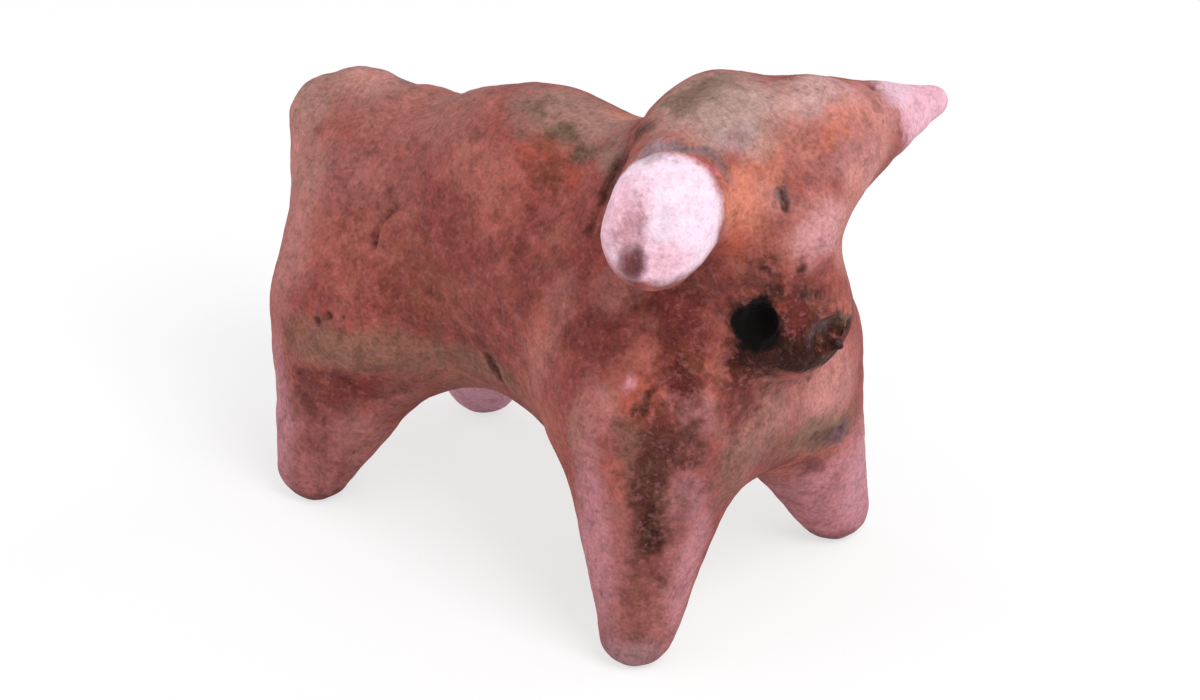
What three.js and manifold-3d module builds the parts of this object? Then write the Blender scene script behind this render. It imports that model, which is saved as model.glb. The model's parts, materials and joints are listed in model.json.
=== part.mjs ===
// A small humped cow modelled by hand in clay and fired.
// Twelve solid lumps: trunk, four legs, hump, neck, head, muzzle, two horns and a tail.
// Each lump is pressed on the ones before it, so its foot is cupped to fit them,
// and its edge is smeared out over them as a thin lip.
// Two nostrils and a mouth are then pressed into the muzzle.
// Millimetres, +X towards the nose, +Y to the animal's left, +Z up, feet on z = 0.
import * as THREE from 'three';
import { mergeVertices } from 'three/addons/utils/BufferGeometryUtils.js';
import Module from 'manifold-3d';

const wasm = await Module();
wasm.setup();

// Joints between lumps and the worn feet
const JOINT_GAP = 0.3;
const LIP_THICKNESS = 0.75;
const FOOT_FLAT_RADIUS = 2.2;

// Trunk: one rolled bar, deeper than wide, with a rump, a brisket and a small raised croup
const TRUNK_LENGTH = 42.7;
const TRUNK_REAR_X = 2;
const TRUNK_HEIGHT = 39.4;
const TRUNK_RISE = 0.6;
const TRUNK_REAR_RADIUS = 14.3;
const TRUNK_FRONT_RADIUS = 18.4;
const TRUNK_DEPTH_RATIO = 1.2;
const RUMP_RADIUS = 6.8;
const RUMP_HALF_SPACING = 3.3;
const RUMP_BACK = 7.4;
const RUMP_ABOVE = 3.2;
const CROUP_RADII = [5.6, 2.5, 3.2];
const CROUP_BACK = 7;
const CROUP_ABOVE = 13.1;
const BRISKET_REAR_RADIUS = 13;
const BRISKET_FRONT_RADIUS = 10.4;
const BRISKET_LENGTH = 13;
const BRISKET_AHEAD = 1.6;
const BRISKET_BELOW = 6.6;

// Legs: blunt cones, hip or shoulder end first
const HIND_HIP_AHEAD = 1.2;
const HIND_HIP_BELOW = 12.4;
const HIND_HIP_SPACING = 22.3;
const HIND_HIP_RADIUS = 11.5;
const HIND_WIDTH_RATIO = 1.2;
const HIND_FEET_SPACING = 35.3;
const HIND_FOOT_BACK = 3.1;
const HIND_FOOT_RADIUS = 5;
const FORE_HIP_AHEAD = 13.2;
const FORE_HIP_BELOW = 7.7;
const FORE_HIP_SPACING = 23.5;
const FORE_HIP_RADIUS = 12.8;
const FORE_FEET_SPACING = 43.4;
const FORE_FOOT_AHEAD = 17.1;
const FORE_FOOT_RADIUS = 5.1;
const FORE_STAGGER = 1.4;
const FORE_SET_LEFT = 0.5;

// Hump, neck, head and muzzle
const HUMP_RADII = [13.9, 9.5, 9.2];
const HUMP_AHEAD = 26.5;
const HUMP_ABOVE = 16;
const NECK_AHEAD = 5.3;
const NECK_ABOVE = 6.3;
const NECK_REACH = 8.1;
const NECK_RISE = 19.5;
const NECK_BASE_RADIUS = 13;
const NECK_TOP_RADIUS = 10.5;
const HEAD_AHEAD = 6;
const HEAD_RIGHT = 1;
const HEAD_LENGTH = 6.6;
const HEAD_DROP_ANGLE = 47;
const POLL_RADIUS = 8.1;
const BROW_RADIUS = 9;
const JAW_RADIUS = 8.2;
const JAW_BELOW = 10.5;
const MUZZLE_AHEAD = 4.2;
const MUZZLE_BELOW = 13.3;
const MUZZLE_LENGTH = 5.8;
const MUZZLE_DROP_ANGLE = 62;
const MUZZLE_ROOT_RADIUS = 6.8;
const MUZZLE_TIP_RADIUS = 8.7;

// Pits pressed into the face, measured from the muzzle's root: half sizes along x, y and z
const NOSTRIL_RADII = [2.7, 4, 3.5];
const NOSTRIL_SPACING = 18.2;
const NOSTRIL_AHEAD = 4.6;
const NOSTRIL_BELOW = 3.6;
const MOUTH_RADII = [1.7, 3.4, 2.6];
const MOUTH_AHEAD = 10.9;
const MOUTH_RIGHT = 2.2;
const MOUTH_BELOW = 5.4;

// Horns: the left one tapers to a point, the right one is worn down to a blunt oval end
const LEFT_HORN_OUT = 9.2;
const LEFT_HORN_LENGTH = 24.2;
const LEFT_HORN_SWEEP_ANGLE = 2.6;
const LEFT_HORN_DROOP_ANGLE = 3.6;
const LEFT_HORN_AHEAD = 2.8;
const LEFT_HORN_ABOVE = 0.5;
const LEFT_HORN_ROOT_RADIUS = 9.1;
const LEFT_HORN_TIP_RADIUS = 2.2;
const RIGHT_HORN_OUT = 7.5;
const RIGHT_HORN_LENGTH = 16.4;
const RIGHT_HORN_SWEEP_ANGLE = 19;
const RIGHT_HORN_DROOP_ANGLE = 10.5;
const RIGHT_HORN_BACK = 2.4;
const RIGHT_HORN_ABOVE = 1.8;
const RIGHT_HORN_ROOT_RADIUS = 8.6;
const RIGHT_HORN_END_RADIUS = 6.7;
const RIGHT_HORN_CORE_SHARE = 0.7;
const WORN_END_BEYOND = 1.7;
const WORN_END_TURN_ANGLE = 57;
const WORN_END_TILT_ANGLE = 22;
const WORN_END_EDGE = 4;

// Tail: a short strap down the back of the rump
const TAIL_BACK = 14.2;
const TAIL_ABOVE = 9.4;
const TAIL_LENGTH = 8.5;
const TAIL_LEAN = 0.8;
const TAIL_TOP_RADIUS = 6.3;
const TAIL_END_RADIUS = 5.5;

// How widely each lump is smeared into the ones before it
const TRUNK_SMEAR = 9;
const LEG_SMEAR = 12;
const HUMP_SMEAR = 9;
const NECK_SMEAR = 8;
const FACE_SMEAR = 6;
const MUZZLE_SMEAR = 4;
const HORN_SMEAR = 5;
const TAIL_SMEAR = 5;

// How finely each lump's skin is divided: points around it, and rings over its open part
const TRUNK_SKIN = { around: 28, openRings: 24 };
const LEG_SKIN = { around: 20, openRings: 14 };
const HUMP_SKIN = { around: 20, openRings: 6 };
const NECK_SKIN = { around: 22, openRings: 9 };
const HEAD_SKIN = { around: 22, openRings: 9 };
const MUZZLE_SKIN = { around: 24, openRings: 9 };
const HORN_SKIN = { around: 20, openRings: 11 };
const TAIL_SKIN = { around: 16, openRings: 6 };
const PIT_AROUND = 14;
const PIT_RINGS = 10;

// Rings over the part of each lump that is buried in the ones before it, and how its lip is evened
const BURIED_RINGS = 3;
const EVENING_PASSES = 4;

// Thin ends get rings as if they were this many times thicker
const THIN_END_SPREAD = 2;

// How a skin is found: the shortest stride along a ray, the share of the depth that a longer one takes,
// how closely the skin is pinned down, and how the lip is searched for
const SHORTEST_STRIDE = 0.25;
const STRIDE_SHARE = 0.8;
const SKIN_PRECISION = 0.0005;
const LIP_STRIDES = 24;
const LIP_HALVINGS = 7;
const FARTHEST = 4 * TRUNK_LENGTH;
const TINY = 1e-6;

const radians = THREE.MathUtils.degToRad;

// Vector helpers on plain arrays
const plus = (a, b) => [a[0] + b[0], a[1] + b[1], a[2] + b[2]];
const minus = (a, b) => [a[0] - b[0], a[1] - b[1], a[2] - b[2]];
const times = (a, s) => [a[0] * s, a[1] * s, a[2] * s];
const dot = (a, b) => a[0] * b[0] + a[1] * b[1] + a[2] * b[2];
const between = (a, b, t) => plus(times(a, 1 - t), times(b, t));

// Smooth union and intersection of two distances: they round the meeting over a width
function blend(a, b, width) {
  const overlap = Math.max(width - Math.abs(a - b), 0) / width;
  return Math.min(a, b) - overlap * overlap * width / 4;
}
const roundCut = (a, b, width) => -blend(-a, -b, width);

// Distance to a bar with round ends of two radii, widened by a ratio along one axis
function bar(start, end, startRadius, endRadius, wideAxis = [1, 0, 0], ratio = 1) {
  const squeeze = (p) => {
    const off = dot(minus(p, start), wideAxis) * (1 - 1 / ratio);
    return minus(p, times(wideAxis, off));
  };
  const run = minus(squeeze(end), start);
  const run2 = dot(run, run);
  const shrink = startRadius - endRadius;
  const slant2 = run2 - shrink * shrink;
  return (point) => {
    const off = minus(squeeze(point), start);
    const along = dot(off, run);
    const past = along - run2;
    const side = minus(times(off, run2), times(run, along));
    const side2 = dot(side, side);
    const taper = Math.sign(shrink) * shrink * shrink * side2;
    if (Math.sign(past) * slant2 * past * past * run2 > taper) {
      return Math.sqrt(side2 + past * past * run2) / run2 - endRadius;
    }
    if (Math.sign(along) * slant2 * along * along * run2 < taper) {
      return Math.sqrt(side2 + along * along * run2) / run2 - startRadius;
    }
    return (Math.sqrt(side2 * slant2 / run2) + along * shrink) / run2 - startRadius;
  };
}

// Near distance to an egg-shaped pellet
function pellet(centre, radii) {
  return (point) => {
    const p = minus(point, centre);
    const unit = [p[0] / radii[0], p[1] / radii[1], p[2] / radii[2]];
    const slope = [unit[0] / radii[0], unit[1] / radii[1], unit[2] / radii[2]];
    const length = Math.hypot(...unit);
    return length < TINY ? -Math.min(...radii) : length * (length - 1) / Math.hypot(...slope);
  };
}

const joined = (first, second, width) => (p) => blend(first(p), second(p), width);

// A direction that points outwards, swept forwards and drooping by two angles
function outwards(side, sweep, droop) {
  const level = Math.cos(radians(droop));
  return [Math.sin(radians(sweep)) * level, side * Math.cos(radians(sweep)) * level, -Math.sin(radians(droop))];
}
const forwardsDown = (angle) => [Math.cos(radians(angle)), 0, -Math.sin(radians(angle))];

// Landmarks, each measured from the piece that carries it
const trunkRear = [TRUNK_REAR_X, 0, TRUNK_HEIGHT];
const trunkFront = plus(trunkRear, [TRUNK_LENGTH, 0, TRUNK_RISE]);
const neckBase = plus(trunkFront, [NECK_AHEAD, 0, NECK_ABOVE]);
const neckTop = plus(neckBase, [NECK_REACH, 0, NECK_RISE]);
const poll = plus(neckTop, [HEAD_AHEAD, -HEAD_RIGHT, 0]);
const brow = plus(poll, times(forwardsDown(HEAD_DROP_ANGLE), HEAD_LENGTH));
const muzzleRoot = plus(poll, [MUZZLE_AHEAD, 0, -MUZZLE_BELOW]);
const muzzleTip = plus(muzzleRoot, times(forwardsDown(MUZZLE_DROP_ANGLE), MUZZLE_LENGTH));
const tailTop = plus(trunkRear, [-TAIL_BACK, 0, TAIL_ABOVE]);
const tailEnd = plus(tailTop, [-TAIL_LEAN, 0, -TAIL_LENGTH]);
const footHeight = (radius) => Math.sqrt(radius * radius - FOOT_FLAT_RADIUS * FOOT_FLAT_RADIUS);

// Trunk, with its rump, croup and brisket worked up out of the same roll
function trunkLump() {
  const rumpMiddle = plus(trunkRear, [-RUMP_BACK, 0, RUMP_ABOVE]);
  const rumpSide = [0, RUMP_HALF_SPACING, 0];
  const brisketRear = plus(trunkFront, [BRISKET_AHEAD, 0, -BRISKET_BELOW]);
  const brisketFront = plus(brisketRear, [BRISKET_LENGTH, 0, 0]);
  const croupMiddle = plus(trunkRear, [-CROUP_BACK, 0, CROUP_ABOVE]);
  let shape = bar(trunkRear, trunkFront, TRUNK_REAR_RADIUS, TRUNK_FRONT_RADIUS, [0, 0, 1], TRUNK_DEPTH_RATIO);
  const brisket = bar(brisketRear, brisketFront, BRISKET_REAR_RADIUS, BRISKET_FRONT_RADIUS);
  const rump = bar(minus(rumpMiddle, rumpSide), plus(rumpMiddle, rumpSide), RUMP_RADIUS, RUMP_RADIUS);
  shape = joined(shape, brisket, TRUNK_SMEAR);
  shape = joined(shape, rump, TRUNK_SMEAR);
  shape = joined(shape, pellet(croupMiddle, CROUP_RADII), TRUNK_SMEAR);
  return {
    name: 'trunk',
    shape,
    core: [trunkRear, plus(trunkFront, [BRISKET_AHEAD, 0, 0])],
    span: [TRUNK_REAR_RADIUS, TRUNK_FRONT_RADIUS],
    smear: 0,
    ...TRUNK_SKIN,
  };
}

// A leg on one side: side is -1 on the right and 1 on the left
const legLump = (name, shape, core, span) => ({
  name, shape, core, span, smear: LEG_SMEAR, stands: true, ...LEG_SKIN,
});

function hindLeg(name, side) {
  const hip = plus(trunkRear, [HIND_HIP_AHEAD, side * HIND_HIP_SPACING / 2, -HIND_HIP_BELOW]);
  const foot = [TRUNK_REAR_X - HIND_FOOT_BACK, side * HIND_FEET_SPACING / 2, footHeight(HIND_FOOT_RADIUS)];
  const shape = bar(hip, foot, HIND_HIP_RADIUS, HIND_FOOT_RADIUS, [1, 0, 0], HIND_WIDTH_RATIO);
  return legLump(name, shape, [hip, foot], [HIND_HIP_RADIUS, THIN_END_SPREAD * HIND_FOOT_RADIUS]);
}

function foreLeg(name, side) {
  const ahead = -side * FORE_STAGGER / 2;
  const shoulder = plus(trunkFront, [
    FORE_HIP_AHEAD + ahead,
    side * FORE_HIP_SPACING / 2,
    -FORE_HIP_BELOW,
  ]);
  const foot = [
    trunkFront[0] + FORE_FOOT_AHEAD + ahead,
    side * FORE_FEET_SPACING / 2 + FORE_SET_LEFT,
    footHeight(FORE_FOOT_RADIUS),
  ];
  const shape = bar(shoulder, foot, FORE_HIP_RADIUS, FORE_FOOT_RADIUS);
  return legLump(name, shape, [shoulder, foot], [FORE_HIP_RADIUS, THIN_END_SPREAD * FORE_FOOT_RADIUS]);
}

function humpLump() {
  const middle = plus(trunkRear, [HUMP_AHEAD, 0, HUMP_ABOVE]);
  const core = [plus(trunkRear, [HUMP_AHEAD, 0, 0]), middle];
  return {
    name: 'hump',
    shape: pellet(middle, HUMP_RADII),
    core,
    span: [HUMP_RADII[2], HUMP_RADII[0]],
    smear: HUMP_SMEAR,
    ...HUMP_SKIN,
  };
}

function neckLump() {
  const shape = bar(neckBase, neckTop, NECK_BASE_RADIUS, NECK_TOP_RADIUS);
  const span = [NECK_BASE_RADIUS, NECK_TOP_RADIUS];
  return { name: 'neck', shape, core: [neckBase, neckTop], span, smear: NECK_SMEAR, ...NECK_SKIN };
}

// Head: the skull from poll to brow, with a full jaw under it
function headLump() {
  const jaw = plus(poll, [0, -HEAD_RIGHT, -JAW_BELOW]);
  const skull = bar(poll, brow, POLL_RADIUS, BROW_RADIUS);
  const shape = joined(skull, bar(jaw, muzzleRoot, JAW_RADIUS, MUZZLE_ROOT_RADIUS), FACE_SMEAR);
  const span = [POLL_RADIUS, BROW_RADIUS];
  return { name: 'head', shape, core: [jaw, brow], span, smear: FACE_SMEAR, pressed: true, ...HEAD_SKIN };
}

function muzzleLump() {
  const shape = bar(muzzleRoot, muzzleTip, MUZZLE_ROOT_RADIUS, MUZZLE_TIP_RADIUS);
  const span = [MUZZLE_ROOT_RADIUS, MUZZLE_TIP_RADIUS];
  const core = [muzzleRoot, muzzleTip];
  return { name: 'muzzle', shape, core, span, smear: MUZZLE_SMEAR, pressed: true, ...MUZZLE_SKIN };
}

// Middles of the pits: a nostril on each side, and the mouth at the front, a little to the right
const nostrilAt = (side) => plus(muzzleRoot, [NOSTRIL_AHEAD, side * NOSTRIL_SPACING / 2, -NOSTRIL_BELOW]);
const mouthAt = plus(muzzleRoot, [MOUTH_AHEAD, -MOUTH_RIGHT, -MOUTH_BELOW]);

function leftHorn() {
  const root = plus(poll, [LEFT_HORN_AHEAD, LEFT_HORN_OUT, LEFT_HORN_ABOVE]);
  const tip = plus(root, times(outwards(1, LEFT_HORN_SWEEP_ANGLE, LEFT_HORN_DROOP_ANGLE), LEFT_HORN_LENGTH));
  const shape = bar(root, tip, LEFT_HORN_ROOT_RADIUS, LEFT_HORN_TIP_RADIUS);
  const span = [LEFT_HORN_ROOT_RADIUS, THIN_END_SPREAD * LEFT_HORN_TIP_RADIUS];
  return { name: 'left_horn', shape, core: [root, tip], span, smear: HORN_SMEAR, ...HORN_SKIN };
}

// Right horn: a thick stub whose end is worn to a sloping face with a round edge
function rightHorn() {
  const root = plus(poll, [-RIGHT_HORN_BACK, -RIGHT_HORN_OUT, RIGHT_HORN_ABOVE]);
  const along = outwards(-1, RIGHT_HORN_SWEEP_ANGLE, RIGHT_HORN_DROOP_ANGLE);
  const end = plus(root, times(along, RIGHT_HORN_LENGTH));
  const facing = outwards(-1, 90 - WORN_END_TURN_ANGLE, -WORN_END_TILT_ANGLE);
  const onFace = plus(end, times(facing, WORN_END_BEYOND));
  const stub = bar(root, end, RIGHT_HORN_ROOT_RADIUS, RIGHT_HORN_END_RADIUS);
  const shape = (p) => roundCut(stub(p), dot(minus(p, onFace), facing), WORN_END_EDGE);
  const core = [root, between(root, end, RIGHT_HORN_CORE_SHARE)];
  const span = [RIGHT_HORN_ROOT_RADIUS, RIGHT_HORN_END_RADIUS];
  return { name: 'right_horn', shape, core, span, smear: HORN_SMEAR, ...HORN_SKIN };
}

function tailLump() {
  const shape = bar(tailTop, tailEnd, TAIL_TOP_RADIUS, TAIL_END_RADIUS);
  const outside = between(tailTop, tailEnd, 0.5);
  const core = [[trunkRear[0] - TAIL_BACK / 2, 0, outside[2]], outside];
  const span = [TAIL_TOP_RADIUS, TAIL_END_RADIUS];
  return { name: 'tail', shape, core, span, smear: TAIL_SMEAR, ...TAIL_SKIN };
}

// The point where a ray from the core first leaves a shape: long strides, then ever finer halves
function leavesAt(shape, origin, direction) {
  let inside = 0;
  let outside = 0;
  while (outside < FARTHEST) {
    const value = shape(plus(origin, times(direction, outside)));
    if (value > 0) break;
    inside = outside;
    outside += Math.max(-value * STRIDE_SHARE, SHORTEST_STRIDE);
  }
  while (outside - inside > SKIN_PRECISION) {
    const middle = (inside + outside) / 2;
    if (shape(plus(origin, times(direction, middle))) > 0) outside = middle;
    else inside = middle;
  }
  return plus(origin, times(direction, (inside + outside) / 2));
}

// Where a share of the way over a lump lies: 0 at the root's pole, 1 at the far pole.
// Its span gives each end's share: a wider span than the end's radius lays more rings there.
function stationAt({ core, span }, share) {
  const length = Math.hypot(...minus(core[1], core[0]));
  const [rootArc, farArc] = span.map((radius) => radius * Math.PI / 2);
  const way = share * (rootArc + length + farArc);
  if (way < rootArc) return { origin: core[0], angle: Math.PI - way / span[0] };
  if (way > rootArc + length) return { origin: core[1], angle: (rootArc + length + farArc - way) / span[1] };
  return { origin: between(core[0], core[1], (way - rootArc) / length), angle: Math.PI / 2 };
}

// Rays that leave a lump's core: along it, across it and at every turn between
function raysOf(lump) {
  const axis = new THREE.Vector3(...minus(lump.core[1], lump.core[0])).normalize();
  const sideways = new THREE.Vector3(0, 0, 1).cross(axis);
  if (sideways.length() < 0.5) sideways.set(0, 1, 0);
  sideways.addScaledVector(axis, -sideways.dot(axis)).normalize();
  const upwards = new THREE.Vector3().crossVectors(axis, sideways);
  return (share, turn) => {
    const { origin, angle } = stationAt(lump, share);
    const direction = axis.clone().multiplyScalar(Math.cos(angle));
    direction.addScaledVector(sideways, Math.sin(angle) * Math.cos(turn));
    direction.addScaledVector(upwards, Math.sin(angle) * Math.sin(turn));
    return { origin, direction: direction.toArray() };
  };
}

// The share at which the open skin ends at the lip, walking back from the far pole at one turn
function lipAt(ray, shape, isOpen, turn) {
  const stride = 1 / LIP_STRIDES;
  let open = 1;
  while (open > stride) {
    const { origin, direction } = ray(open - stride, turn);
    if (!isOpen(leavesAt(shape, origin, direction))) break;
    open -= stride;
  }
  let shut = Math.max(open - stride, 0);
  for (let step = 0; step < LIP_HALVINGS; step += 1) {
    const middle = (open + shut) / 2;
    const { origin, direction } = ray(middle, turn);
    if (isOpen(leavesAt(shape, origin, direction))) open = middle;
    else shut = middle;
  }
  return open;
}

// Evens out the lip's share from turn to turn
function evened(shares) {
  const count = shares.length;
  return shares.map((share, k) => (shares[(k + count - 1) % count] + 2 * share + shares[(k + 1) % count]) / 4);
}

// Lays rings over a lump at each turn: a few over its buried root up to the lip, the rest over its skin
function layRings(lump, shape, isOpen) {
  const ray = raysOf(lump);
  const { around, openRings } = lump;
  const buriedRings = isOpen ? BURIED_RINGS : 0;
  const rays = [ray(0, 0)];
  const found = [];
  for (let k = 0; k < around; k += 1) {
    found.push(isOpen ? lipAt(ray, shape, isOpen, 2 * Math.PI * k / around) : 0);
  }
  const lips = Array.from({ length: EVENING_PASSES }).reduce(evened, found);
  for (let i = 1; i < buriedRings + openRings; i += 1) {
    for (let k = 0; k < around; k += 1) {
      const share = i <= buriedRings
        ? lips[k] * i / buriedRings
        : lips[k] + (1 - lips[k]) * (i - buriedRings) / openRings;
      rays.push(ray(share, 2 * Math.PI * k / around));
    }
  }
  rays.push(ray(1, 0));
  return rays;
}

// A closed skin through the points where those rays leave a shape
function skin(shape, rays, around) {
  const points = rays.map(({ origin, direction }) => leavesAt(shape, origin, direction));
  const rings = (points.length - 2) / around;
  const last = points.length - 1;
  const faces = [];
  const at = (ring, k) => 1 + ring * around + k % around;
  for (let k = 0; k < around; k += 1) {
    faces.push([0, at(0, k + 1), at(0, k)]);
    for (let ring = 0; ring + 1 < rings; ring += 1) {
      faces.push([at(ring, k), at(ring, k + 1), at(ring + 1, k + 1)]);
      faces.push([at(ring, k), at(ring + 1, k + 1), at(ring + 1, k)]);
    }
    faces.push([at(rings - 1, k), at(rings - 1, k + 1), last]);
  }
  return new wasm.Manifold(new wasm.Mesh({
    numProp: 3,
    vertProperties: new Float32Array(points.flat()),
    triVerts: new Uint32Array(faces.flat()),
  }));
}

// A three.js shape as a solid
function solidOf(geometry) {
  const bare = geometry.clone();
  bare.deleteAttribute('normal');
  bare.deleteAttribute('uv');
  const merged = mergeVertices(bare);
  return new wasm.Manifold(new wasm.Mesh({
    numProp: 3,
    vertProperties: new Float32Array(merged.attributes.position.array),
    triVerts: new Uint32Array(merged.index.array),
  }));
}

// The ground under the feet: a slab that wears each foot flat
const ground = solidOf(new THREE.BoxGeometry(FARTHEST, FARTHEST, FARTHEST).translate(0, 0, -FARTHEST / 2));

// An egg-shaped tool that presses a pit
const pit = (centre, radii) => solidOf(
  new THREE.SphereGeometry(1, PIT_AROUND, PIT_RINGS).scale(...radii).translate(...centre),
);
const pits = [
  pit(nostrilAt(-1), NOSTRIL_RADII),
  pit(nostrilAt(1), NOSTRIL_RADII),
  pit(mouthAt, MOUTH_RADII),
];

const largest = (solid) => solid.decompose().sort((a, b) => b.volume() - a.volume())[0];

// Every lump is skinned over the smooth form built so far, then hollowed by its neighbours' seats,
// worn flat underfoot and pressed with the pits
const lumps = [
  trunkLump(),
  hindLeg('right_hind_leg', -1),
  hindLeg('left_hind_leg', 1),
  foreLeg('right_foreleg', -1),
  foreLeg('left_foreleg', 1),
  humpLump(),
  neckLump(),
  headLump(),
  muzzleLump(),
  rightHorn(),
  leftHorn(),
  tailLump(),
];

let form = null;
const seats = [];
const solids = new Map();
for (const lump of lumps) {
  let shape = lump.shape;
  let isOpen = null;
  if (form) {
    form = joined(form, lump.shape, lump.smear);
    const whole = form;
    const reach = lump.smear - 2 * Math.sqrt(lump.smear * LIP_THICKNESS);
    shape = (p) => Math.max(whole(p), lump.shape(p) - reach);
    isOpen = (p) => whole(p) > lump.shape(p) - reach;
  } else {
    form = lump.shape;
  }
  const rays = layRings(lump, shape, isOpen);
  let solid = skin(shape, rays, lump.around);
  for (const seat of seats) solid = solid.subtract(seat);
  if (lump.stands) solid = solid.subtract(ground);
  if (lump.pressed) solid = pits.reduce((left, tool) => left.subtract(tool), solid);
  solids.set(lump.name, largest(solid));
  seats.push(skin((p) => shape(p) - JOINT_GAP, rays, lump.around));
}

// Finishes: one fired clay, paler where the horns are worn
const CLAY = { color: 0x9c5f57, roughness: 0.92, metalness: 0 };
const PALE_CLAY = { color: 0xd9b3bb, roughness: 0.9, metalness: 0 };
const DARK_CLAY = { color: 0x6b3a30, roughness: 0.9, metalness: 0 };
const finishes = { right_horn: PALE_CLAY, muzzle: DARK_CLAY };

// The finished cow, moved so that its origin is under the middle of its box
const cow = new THREE.Group();
for (const [name, solid] of solids) {
  const { vertProperties, triVerts } = solid.getMesh();
  const geometry = new THREE.BufferGeometry();
  geometry.setAttribute('position', new THREE.BufferAttribute(vertProperties, 3));
  geometry.setIndex(new THREE.BufferAttribute(triVerts, 1));
  geometry.computeVertexNormals();
  const mesh = new THREE.Mesh(geometry, new THREE.MeshStandardMaterial(finishes[name] ?? CLAY));
  mesh.name = name;
  cow.add(mesh);
}
const box = new THREE.Box3().setFromObject(cow);
const middle = box.getCenter(new THREE.Vector3());
cow.position.set(-middle.x, -middle.y, 0);
console.log('box middle in the layout', middle.x.toFixed(3), middle.y.toFixed(3));

export default cow;
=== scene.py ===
"""The looks of a small humped cow, modelled by hand in clay and fired.

The whole form is one smooth distance field. Each lump of clay is a distance, and the lumps are joined one
after another by a smooth union, as wet clay is smeared. A lump's skin is the surface of the form around it,
laid as rings of rays round the lump's core, and then worked with hand unevenness, dents, cuts and pits.

Lengths are millimetres in the maker's layout: x = 0 over the hind feet and forwards, y = 0 on the midline
and to the animal's left, z = 0 on the ground. Meshes are in metres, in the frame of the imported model.
"""
import json
import logging
import math
from abc import ABC, abstractmethod
from collections.abc import Callable
from dataclasses import dataclass, field, replace
from enum import Enum
from typing import Any, ClassVar, TypeAlias

import bpy
import numpy as np
import numpy.typing as npt
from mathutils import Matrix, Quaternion, Vector


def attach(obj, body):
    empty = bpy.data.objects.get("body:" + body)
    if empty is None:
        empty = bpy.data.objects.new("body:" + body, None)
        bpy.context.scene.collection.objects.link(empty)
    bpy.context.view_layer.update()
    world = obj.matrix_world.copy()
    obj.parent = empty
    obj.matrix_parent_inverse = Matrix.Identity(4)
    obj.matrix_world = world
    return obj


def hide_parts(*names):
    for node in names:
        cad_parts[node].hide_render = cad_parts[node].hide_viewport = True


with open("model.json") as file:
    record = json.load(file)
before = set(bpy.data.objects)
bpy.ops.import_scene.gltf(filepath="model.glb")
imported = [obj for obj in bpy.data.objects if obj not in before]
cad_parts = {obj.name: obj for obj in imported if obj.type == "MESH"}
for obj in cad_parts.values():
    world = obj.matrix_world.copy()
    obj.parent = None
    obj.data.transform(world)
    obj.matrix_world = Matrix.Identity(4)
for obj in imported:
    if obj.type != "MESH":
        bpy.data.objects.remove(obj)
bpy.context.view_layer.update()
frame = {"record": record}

Array = npt.NDArray[np.float64]
Point = tuple[float, float, float]
Field = Callable[[Array], Array]

LOG = logging.getLogger("cow")
MM = 0.001
LAYOUT_MIDDLE: Point = (30.511, 3.355, 0.0)
FOOT_FLAT_RADIUS = 2.2
GRID_SHARE = 1.0
TINY = 1e-9
NOISE_MIDDLE = 0.5
WHITE = (1.0, 1.0, 1.0, 1.0)
RAGGED_RIM = 0.3
RIM_SEED = 5


def put(name: str, data: bpy.types.ID) -> bpy.types.Object:
    """A new object in the scene, at the origin.

    Args:
        name: Its name.
        data: The mesh, light or camera that it shows.

    Returns:
        The object.
    """
    made = bpy.data.objects.new(name, data)
    bpy.context.scene.collection.objects.link(made)
    return made


class Side(Enum):
    """A side of the animal, valued by the sign of y there."""

    RIGHT = -1
    LEFT = 1


def blend(first: Array, second: Array, width: float) -> Array:
    """Smooth union of two distances.

    The nearer distance, less a fillet of width / 4 * (1 - |first - second| / width) squared,
    which fades out where the two differ by the width.

    Args:
        first: Distances to one shape, in mm.
        second: Distances to the other shape, in mm.
        width: How far apart the distances may be and still be smeared together, in mm.

    Returns:
        The distances to the joined shape.
    """
    overlap = np.maximum(width - np.abs(first - second), 0.0) / width
    return np.minimum(first, second) - overlap * overlap * width / 4


def smoothstep(low: float, high: float, value: Array) -> Array:
    """A rise from 0 at low to 1 at high with level ends: t * t * (3 - 2 * t)."""
    t = np.clip((value - low) / (high - low), 0.0, 1.0)
    return t * t * (3 - 2 * t)


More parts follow.
